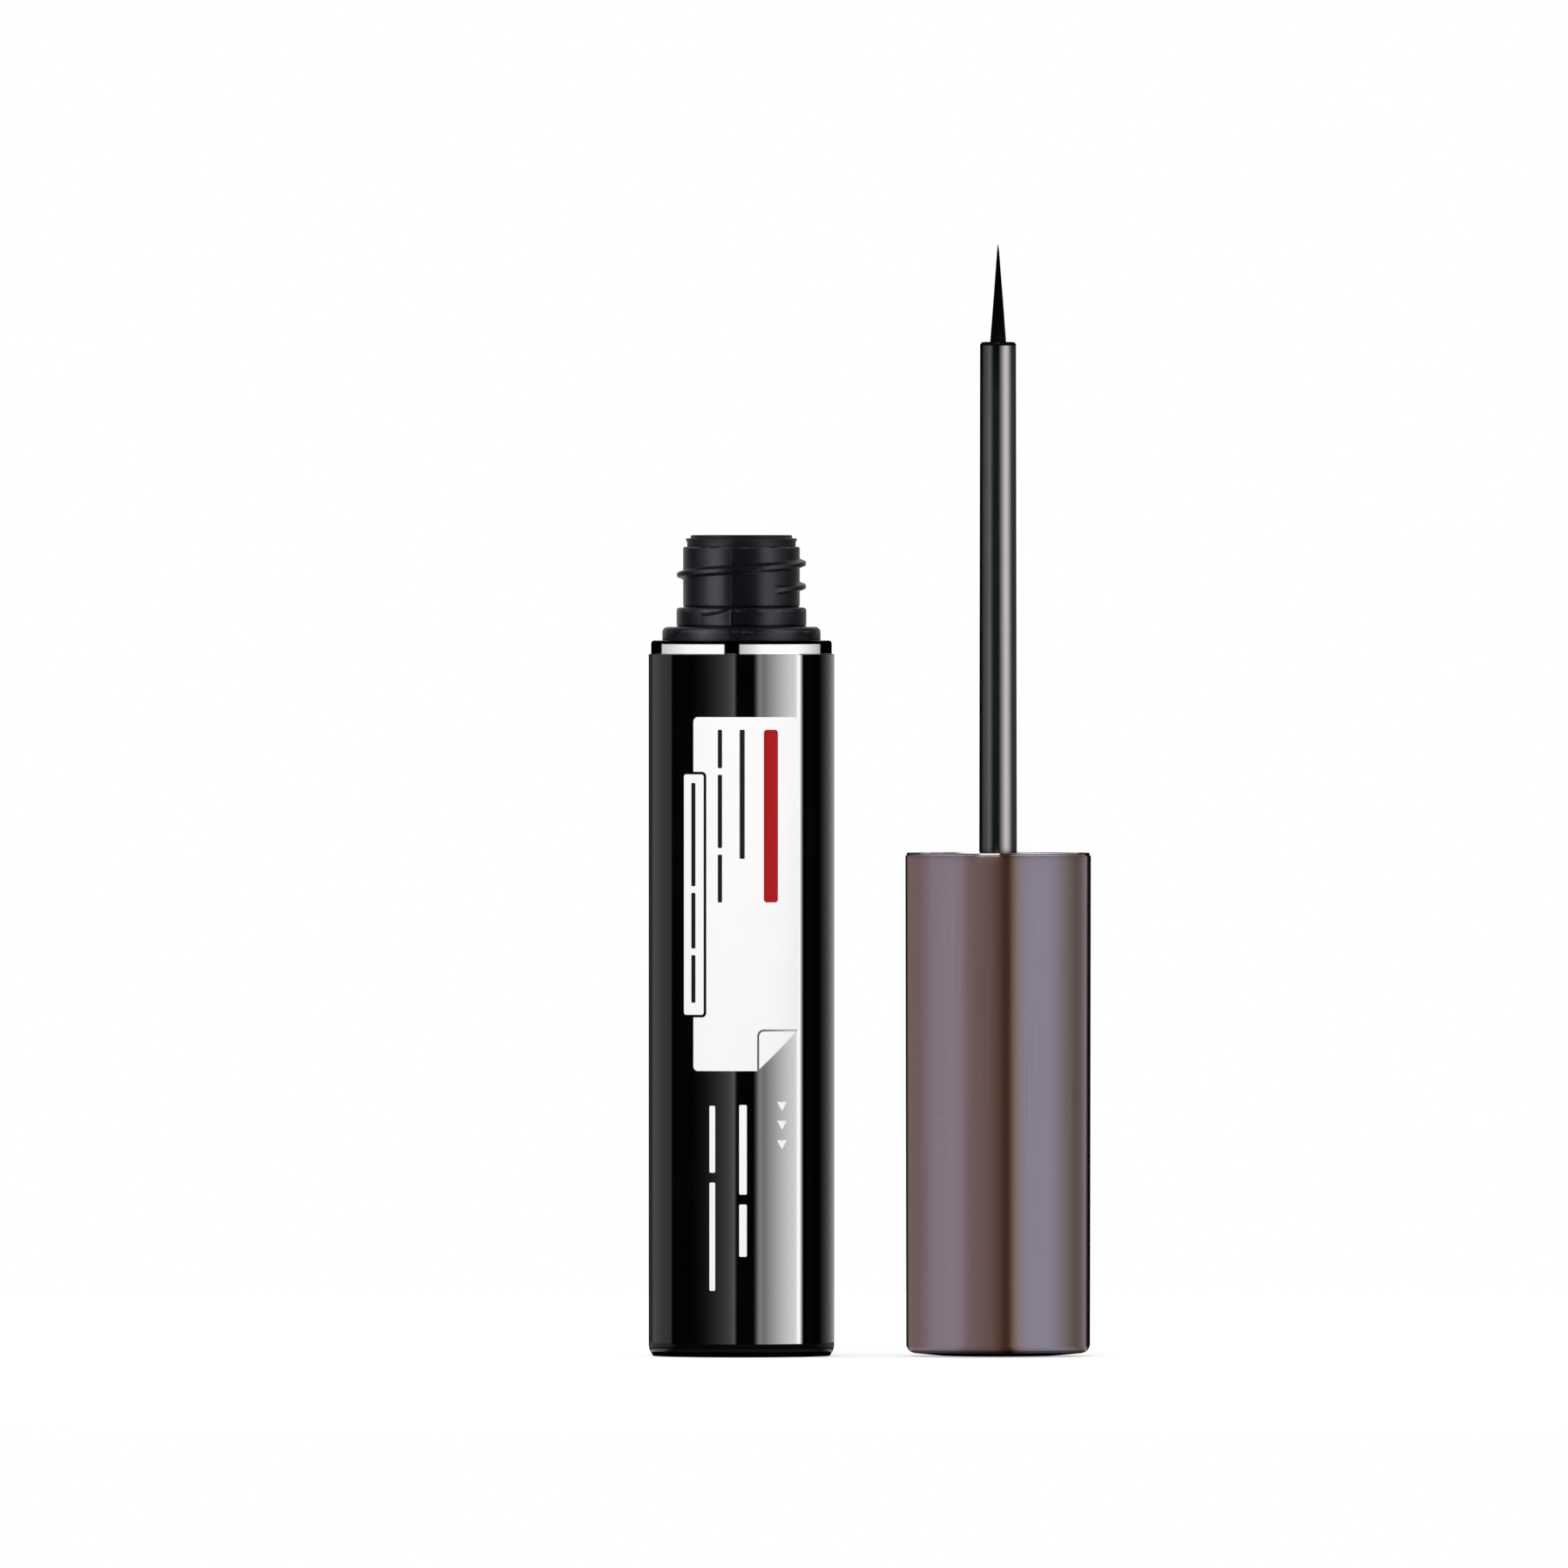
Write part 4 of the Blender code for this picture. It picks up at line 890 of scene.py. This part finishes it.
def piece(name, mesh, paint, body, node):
    """A finished piece in the finish given, riding on a body and standing in for its CAD node, which it
    hides.
    """
    made = built(name, mesh, paint)
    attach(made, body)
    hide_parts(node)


NECK_HIGHLIGHT_RIMS = (NECK_TOP - 0.06, STEP_TOP - 0.30, FLANGE_TOP - 0.45)  # heights of the edges that rub: their lighter line is wear and also a painted highlight
plating = bright_plating()
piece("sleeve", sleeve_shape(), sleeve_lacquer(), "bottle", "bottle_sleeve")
piece(
    "threaded_neck", neck_shape(), moulded_black("matte black neck", NECK_HIGHLIGHT_RIMS), "bottle", "inner_bottle",
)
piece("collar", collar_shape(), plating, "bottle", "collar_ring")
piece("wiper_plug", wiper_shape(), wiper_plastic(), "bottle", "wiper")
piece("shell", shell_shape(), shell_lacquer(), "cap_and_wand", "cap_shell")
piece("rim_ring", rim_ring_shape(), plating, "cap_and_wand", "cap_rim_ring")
piece(
    "threaded_inner_cap", inner_cap_shape(), moulded_black("matte black inner cap", (INNER_CAP_MOUTH,)),
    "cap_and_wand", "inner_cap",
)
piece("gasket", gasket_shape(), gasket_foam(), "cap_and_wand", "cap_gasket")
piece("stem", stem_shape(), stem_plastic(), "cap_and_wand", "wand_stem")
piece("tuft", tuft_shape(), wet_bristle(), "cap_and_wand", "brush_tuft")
for node, paint in (("brush_ferrule", drawn_brass()), ("mixing_ball", polished_steel())):
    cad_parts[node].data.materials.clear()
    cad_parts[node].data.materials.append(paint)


# Studio


def plain(name, mesh, paint, **visible):
    """A stage object that only the named kinds of ray see."""
    made = built(name, mesh, paint)
    for ray, seen in visible.items():
        setattr(made, f"visible_{ray}", seen)
    return made


def seen_clearly(tree):
    """1 for rays of the camera, of gloss and through glass, 0 for those that light the object."""
    path = add(tree, "ShaderNodeLightPath").outputs
    return either(path["Is Camera Ray"], path["Is Glossy Ray"], path["Is Transmission Ray"])


def floor_paint():
    """Pale floor: it keeps the object's soft shadow, and reads as white to the camera and in gloss."""
    made, shader, where = started("pale floor", Roughness=0.9, Specular_IOR_Level=0.0)
    tree = shader.id_data
    tree.links.new(mixed(noise(where, 12.0), grey(0.55), grey(0.56)), shader.inputs["Base Color"])
    lift = add(tree, "ShaderNodeEmission", {"Color": (1, 1, 1, 1), "Strength": 0.52})
    none = add(tree, "ShaderNodeEmission", {"Strength": 0.0})
    choice = add(tree, "ShaderNodeMixShader", {0: seen_clearly(tree), 1: none.outputs[0], 2: lift.outputs[0]})
    total = add(tree, "ShaderNodeAddShader", {0: shader.outputs[0], 1: choice.outputs[0]})
    tree.links.new(total.outputs[0], tree.nodes["Material Output"].inputs["Surface"])
    return made


def tent_paint():
    """Glow of the reflector tent on its inner face. Its outer face lets everything through."""
    made = bpy.data.materials.new("reflector tent")
    made.use_nodes = True
    tree = made.node_tree
    tree.nodes.remove(tree.nodes["Principled BSDF"])
    made.cycles.emission_sampling = "NONE"
    glow = add(tree, "ShaderNodeAttribute", attribute_name="glow")
    lit = add(tree, "ShaderNodeEmission", {"Color": glow.outputs["Color"], "Strength": 1.0})
    clear = add(tree, "ShaderNodeBsdfTransparent")
    back = add(tree, "ShaderNodeNewGeometry").outputs["Backfacing"]
    choice = add(tree, "ShaderNodeMixShader", {0: back, 1: lit.outputs[0], 2: clear.outputs[0]})
    tree.links.new(choice.outputs[0], tree.nodes["Material Output"].inputs["Surface"])
    return made


def lands_at(share, radius):
    """Turn at which a ray meets the tent once mirrored off a cylinder, a share of its radius off the middle.

    The ray leaves the cylinder, of radius r, at turn p = asin(share) and at p to its normal. It meets the
    tent, of radius T, at turn p + atan2(t sin p, r + t cos p), where t = sqrt(T^2 - r^2 sin^2 p) - r cos p.
    """
    p = np.arcsin(np.clip(share, -1, 1))
    run = np.sqrt(TENT_RADIUS**2 - (radius * np.sin(p)) ** 2) - radius * np.cos(p)
    return p + np.arctan2(run * np.sin(p), radius + run * np.cos(p))


def reflector_tent(name, body, axis, walls, floors, shelves, columns=1440):
    """Upright tent of soft light round the pieces of one body, seen only in their gloss.

    A wall is (low, high, radius of the piece that it lights, stops). A stop is (share of that radius off the
    middle in view, grey or colour), and the glow is linear between stops.
    The middle stops are mirrored to the back, which lights the pieces when they are seen from there.
    Floors (inner radius, outer radius, stops) are seen from above.
    Shelves (height, inner radius, stops) are seen from below: they keep edges that look up dark.
    The tent goes with the body, so its pieces keep their sheen wherever they are moved.
    """
    turn = np.linspace(-math.pi, math.pi, columns + 1)
    floor_height, margin = 0.02, 0.1
    points, faces, glow = [], [], []

    def ring(start, end, radius, stops):
        shares = np.array([stop[0] for stop in stops])
        levels = np.array([np.broadcast_to(stop[1], 3) for stop in stops], float)
        spots, edge = lands_at(shares, radius), lands_at(1, radius)
        middle = np.abs(spots) < math.pi - edge - margin
        spots, levels = np.append(spots, math.pi - spots[middle]), np.append(levels, levels[middle], axis=0)
        bands = [np.interp(turn, spots, levels[:, i], period=2 * math.pi) for i in range(3)]
        colour = np.stack([*bands, np.ones_like(turn)], -1)
        index = len(points) * (columns + 1) + np.arange(columns)
        faces.extend(np.stack([index + 1, index, index + columns + 1, index + columns + 2], -1).tolist())
        for reach, height in (start, end):
            x, y = axis + reach * np.sin(turn), -reach * np.cos(turn)
            points.append(np.stack([x, y, np.full_like(x, height)], -1))
            glow.append(colour)

    widest = walls[0][2]
    for low, high, radius, stops in walls:
        ring((TENT_RADIUS, low), (TENT_RADIUS, high), radius, stops)
    for inner, outer, stops in floors:
        ring((inner, floor_height), (outer, floor_height), widest, stops)
    for height, inner, stops in shelves:
        ring((TENT_RADIUS, height), (inner, height), widest, stops)
    mesh = bpy.data.meshes.new(name)
    mesh.from_pydata((np.concatenate(points) * MM).tolist(), [], faces)
    layer = mesh.color_attributes.new("glow", "FLOAT_COLOR", "POINT")
    layer.data.foreach_set("color", np.concatenate(glow).ravel())
    tent = plain(name, mesh, TENT_PAINT, camera=False, diffuse=False, transmission=False, shadow=False)
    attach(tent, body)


def dimmed(stops, share):
    """The stops with their levels times the share."""
    return [(spot, share * np.array(level)) for spot, level in stops]


TENT_PAINT = tent_paint()
TENT_RADIUS = 11.7
DARK = [(-1.0, 0.0), (1.0, 0.0)]

# The stops below follow the photograph's stripes. Many of their levels were fitted to it: the level before,
# times the photograph's brightness over the render's at that place. So this isn't a plain studio's light.

# Stops for the glossy sleeve, the collar and the matte neck
SLEEVE_STRIPES = [
    (-1.0, 0.0), (-0.965, 0.05), (-0.94, 0.20), (-0.76, 0.19), (-0.745, 0.0), (-0.52, 0.0), (-0.40, 0.03),
    (-0.30, 0.10), (-0.20, 0.22), (-0.12, 0.38), (-0.09, 0.58), (-0.072, 0.48), (-0.057, 0.08),
    (-0.04, 0.0), (0.13, 0.0), (0.155, 0.25), (0.18, 1.0), (0.20, 1.55), (0.24, 1.2), (0.30, 1.8),
    (0.40, 3.0), (0.50, 4.15), (0.575, 4.7), (0.595, 5.8), (0.61, 7.2), (0.626, 7.2), (0.645, 2.3),
    (0.663, 0.0), (0.705, 0.0), (0.73, 0.01), (0.77, 0.0), (0.84, 0.0), (0.90, 0.13), (0.95, 0.3),
    (0.985, 0.45), (1.0, 0.0),
]
COLLAR_STRIPES = [
    (-1.0, 0.0), (-0.885, 0.0), (-0.875, 0.68), (-0.75, 0.85), (-0.60, 1.1), (-0.195, 1.2), (-0.185, 0.0),
    (-0.025, 0.0), (-0.015, 0.62), (0.10, 0.82), (0.25, 1.2), (0.60, 1.2), (0.75, 0.88), (0.865, 0.5),
    (0.875, 0.0), (1.0, 0.0),
]
NECK_STRIPES = [
    (-1.0, 0.7), (-0.95, 0.3), (-0.9, 0.08), (-0.8, (0.05, 0.04, 0.06)), (-0.65, (0.5, 0.49, 0.56)),
    (-0.53, (1.75, 1.7, 1.95)), (-0.38, (1.75, 1.7, 1.95)), (-0.28, 0.25), (-0.2, 0.08), (-0.1, 0.0),
    (0.1, 0.0), (0.2, 0.06), (0.3, 0.2), (0.41, (1.4, 1.4, 1.6)), (0.52, (1.4, 1.4, 1.6)),
    (0.64, (0.5, 0.5, 0.56)), (0.8, 0.12), (0.88, 0.06), (0.94, 0.2), (1.0, 0.6),
]
MOUTH_STRIPES = [
    (-1.0, (0.5, 0.38, 0.3)), (-0.9, (0.6, 0.45, 0.38)), (-0.8, 0.3), (-0.5, 0.3), (-0.2, 0.1), (0.2, 0.1),
    (0.5, 0.3), (0.8, 0.3), (0.88, (0.8, 0.62, 0.5)), (1.0, (0.6, 0.46, 0.38)),
]
FLANGE_STRIPES = [
    (-1.0, 0.6), (-0.92, 0.1), (-0.8, 0.0), (-0.7, 0.0), (-0.6, (0.9, 0.89, 1.0)),
    (-0.5, (2.2, 2.15, 2.4)), (-0.4, (1.9, 1.87, 2.1)), (-0.3, (0.9, 0.88, 1.0)), (-0.2, (0.3, 0.29, 0.34)),
    (-0.1, 0.0), (0.0, 0.0), (0.1, 0.0), (0.2, 0.0), (0.3, (0.6, 0.6, 0.68)),
    (0.4, (1.35, 1.35, 1.5)), (0.5, (1.2, 1.2, 1.35)), (0.6, (0.9, 0.9, 1.0)), (0.7, 0.05), (0.8, 0.0),
    (0.92, 0.1), (1.0, 0.6),
]
FOOT_STRIPES = [
    (-1.0, 0.0), (-0.96, 0.3), (-0.78, 0.25), (-0.7, 0.02), (-0.4, 0.03), (0.3, 0.05), (0.6, 0.05),
    (0.8, 0.02), (0.95, 0.3), (1.0, 0.0),
]
FOOT_CURVE_TOP = 1.15
COLLAR_EDGE = COLLAR_TOP - 0.20
FLANGE_LOW, RING_LOW = COLLAR_TOP + 0.10, FLANGE_TOP + 0.3
MOUTH_LOW, BOTTLE_TENT_TOP = 77.2, 84.0
reflector_tent(
    "bottle_tent", "bottle", 0.0,
    walls=[
        (0.02, FOOT_CURVE_TOP, BODY_RADIUS, dimmed(FOOT_STRIPES, 0.4)),
        (FOOT_CURVE_TOP, SLEEVE_TOP, BODY_RADIUS, SLEEVE_STRIPES),
        (SLEEVE_TOP, COLLAR_EDGE, COLLAR_RADIUS, COLLAR_STRIPES),
        (COLLAR_EDGE, FLANGE_LOW, COLLAR_RADIUS, DARK),
        (FLANGE_LOW, RING_LOW, FLANGE_RADIUS, FLANGE_STRIPES),
        (RING_LOW, MOUTH_LOW, STEP_RADIUS, NECK_STRIPES),
        (MOUTH_LOW, BOTTLE_TENT_TOP, NECK_RADIUS, MOUTH_STRIPES),
    ],
    floors=[(0.5, 8.8, DARK), (8.8, 10.2, FOOT_STRIPES), (10.2, TENT_RADIUS, DARK)],
    shelves=[(FLANGE_LOW, 7.95, DARK), (BOTTLE_TENT_TOP, 3.0, dimmed(MOUTH_STRIPES, 0.3))],
)

# Stops for the satin cap, its thin bright lip and the stem
CAP_STRIPES = [
    (-1.0, 0.0), (-0.985, 0.0), (-0.97, (0.3, 0.22, 0.2)), (-0.9, (0.48, 0.34, 0.35)),
    (-0.82, (0.6, 0.5, 0.55)), (-0.7, (0.9, 0.84, 1.0)), (-0.5, (0.98, 0.96, 1.15)),
    (-0.4, (0.9, 0.86, 1.03)), (-0.32, (0.66, 0.57, 0.58)), (-0.1, (0.52, 0.41, 0.37)),
    (0.0, (0.38, 0.26, 0.20)), (0.06, (0.19, 0.11, 0.06)), (0.115, (0.17, 0.09, 0.045)),
    (0.15, (0.6, 0.48, 0.35)), (0.22, (0.98, 0.95, 1.0)), (0.32, (1.03, 1.12, 1.42)),
    (0.52, (1.05, 1.15, 1.5)), (0.62, (0.9, 0.95, 1.2)), (0.72, (0.66, 0.66, 0.66)),
    (0.84, (0.34, 0.27, 0.24)), (0.91, (0.42, 0.34, 0.36)), (0.95, (0.58, 0.5, 0.53)), (0.958, 0.0),
    (1.0, 0.0),
]
LIP_STRIPES = [
    (-1.0, 0.0), (-0.855, 0.0), (-0.845, 0.22), (-0.21, 0.17), (-0.2, 1.7), (0.0, 1.7), (0.02, 0.0),
    (0.175, 0.0), (0.18, 0.2), (0.4, 0.24), (0.86, 0.14), (0.87, 0.0), (1.0, 0.0),
]
RIM_SHARES = np.array((0.22, 0.18, 0.18))  # of the cap's stripes, so that bright metal reads like the cap
STEM_STRIPES = [
    (-1.0, 0.0), (-0.86, 0.0), (-0.79, 0.28), (-0.62, 0.6), (-0.5, (1.05, 1.1, 1.1)),
    (-0.42, (0.9, 0.95, 1.0)), (-0.3, 0.1), (-0.2, 0.0), (0.04, 0.0), (0.1, 0.8), (0.2, (2.1, 2.0, 2.0)),
    (0.32, (5.0, 4.7, 4.7)), (0.42, (6.2, 5.8, 5.8)), (0.52, (5.2, 4.8, 4.8)), (0.62, (2.3, 2.1, 2.1)),
    (0.72, 0.25), (0.9, 0.1), (0.965, 0.0), (0.985, 1.0), (1.0, 1.0),
]
RIM_LOW, LIP_LOW, STEM_LOW = SHELL_TOP - 0.02, CAP_RIM - 0.14, CAP_RIM + 0.05
BRUSH_LOW, CAP_TENT_TOP = STEM_END + 0.3, 200.0
reflector_tent(
    "cap_tent", "cap_and_wand", CAP_AXIS,
    walls=[
        (0.03, RIM_LOW, BODY_RADIUS, CAP_STRIPES),
        (RIM_LOW, LIP_LOW, RIM_RADIUS, dimmed(CAP_STRIPES, RIM_SHARES)),
        (LIP_LOW, STEM_LOW, RIM_RADIUS, LIP_STRIPES),
        (STEM_LOW, BRUSH_LOW, STEM_RADIUS, STEM_STRIPES),
        (BRUSH_LOW, CAP_TENT_TOP, STEM_RADIUS, DARK),
    ],
    floors=[
        (0.5, 7.8, DARK), (7.8, 8.35, dimmed(CAP_STRIPES, 0.15)), (8.35, 8.8, dimmed(CAP_STRIPES, 0.6)),
        (8.8, TENT_RADIUS, dimmed(CAP_STRIPES, 0.9)),
    ],
    shelves=[(STEM_LOW, BODY_RADIUS - 0.05, LIP_STRIPES), (BRUSH_LOW, 1.9, DARK)],
)

FLOOR_RADIUS, FLOOR_MIDDLE, FLOOR_HEIGHT, FLOOR_CORNERS = 340, 11.8, -0.03, 96
rim = np.linspace(0, 2 * math.pi, FLOOR_CORNERS, endpoint=False)
floor_x, floor_y = FLOOR_MIDDLE + FLOOR_RADIUS * np.cos(rim), FLOOR_RADIUS * np.sin(rim)
floor_points = np.stack([floor_x, floor_y, np.full_like(rim, FLOOR_HEIGHT)], -1)
plain("floor", surface("floor", floor_points, [list(range(FLOOR_CORNERS))]), floor_paint())

world = bpy.data.worlds.new("white studio")
bpy.context.scene.world = world
world.use_nodes = True
sky = world.node_tree
background = sky.nodes["Background"]
background.inputs["Color"].default_value = (1, 1, 1, 1)
sky.links.new(ramped(seen_clearly(sky), 0.0, 1.0, 0.96, 1.0), background.inputs["Strength"])

softbox_light = bpy.data.lights.new("overhead softbox", "AREA")
softbox_light.shape = "DISK"
softbox_light.size = 0.5
softbox_light.energy = 2.0
softbox = bpy.data.objects.new("overhead softbox", softbox_light)
softbox.location = (-0.08, -0.60, 0.65)
softbox.rotation_euler = (Vector((0.012, 0, 0.05)) - softbox.location).to_track_quat("-Z", "Y").to_euler()
softbox.visible_glossy = False
softbox.visible_camera = False
bpy.context.scene.collection.objects.link(softbox)

# Camera: a very long lens at nearly the object's own height
ELEVATION = math.radians(0.4)
DISTANCE = 4.4
IMAGE_WIDTH = 0.14366  # metres across the frame at the bottle's axis
SENSOR_WIDTH = 36.0
aim = Vector((0.0039, 0, 0.0524))
lens = bpy.data.cameras.new("camera")
lens.sensor_width = SENSOR_WIDTH
lens.lens = SENSOR_WIDTH * DISTANCE / IMAGE_WIDTH
lens.clip_start, lens.clip_end = 0.01, 20
camera = bpy.data.objects.new("camera", lens)
camera.location = aim + DISTANCE * Vector((0, -math.cos(ELEVATION), math.sin(ELEVATION)))
camera.rotation_euler = (aim - camera.location).to_track_quat("-Z", "Y").to_euler()
bpy.context.scene.collection.objects.link(camera)
bpy.context.scene.camera = camera
bpy.context.scene.view_settings.view_transform = "Standard"
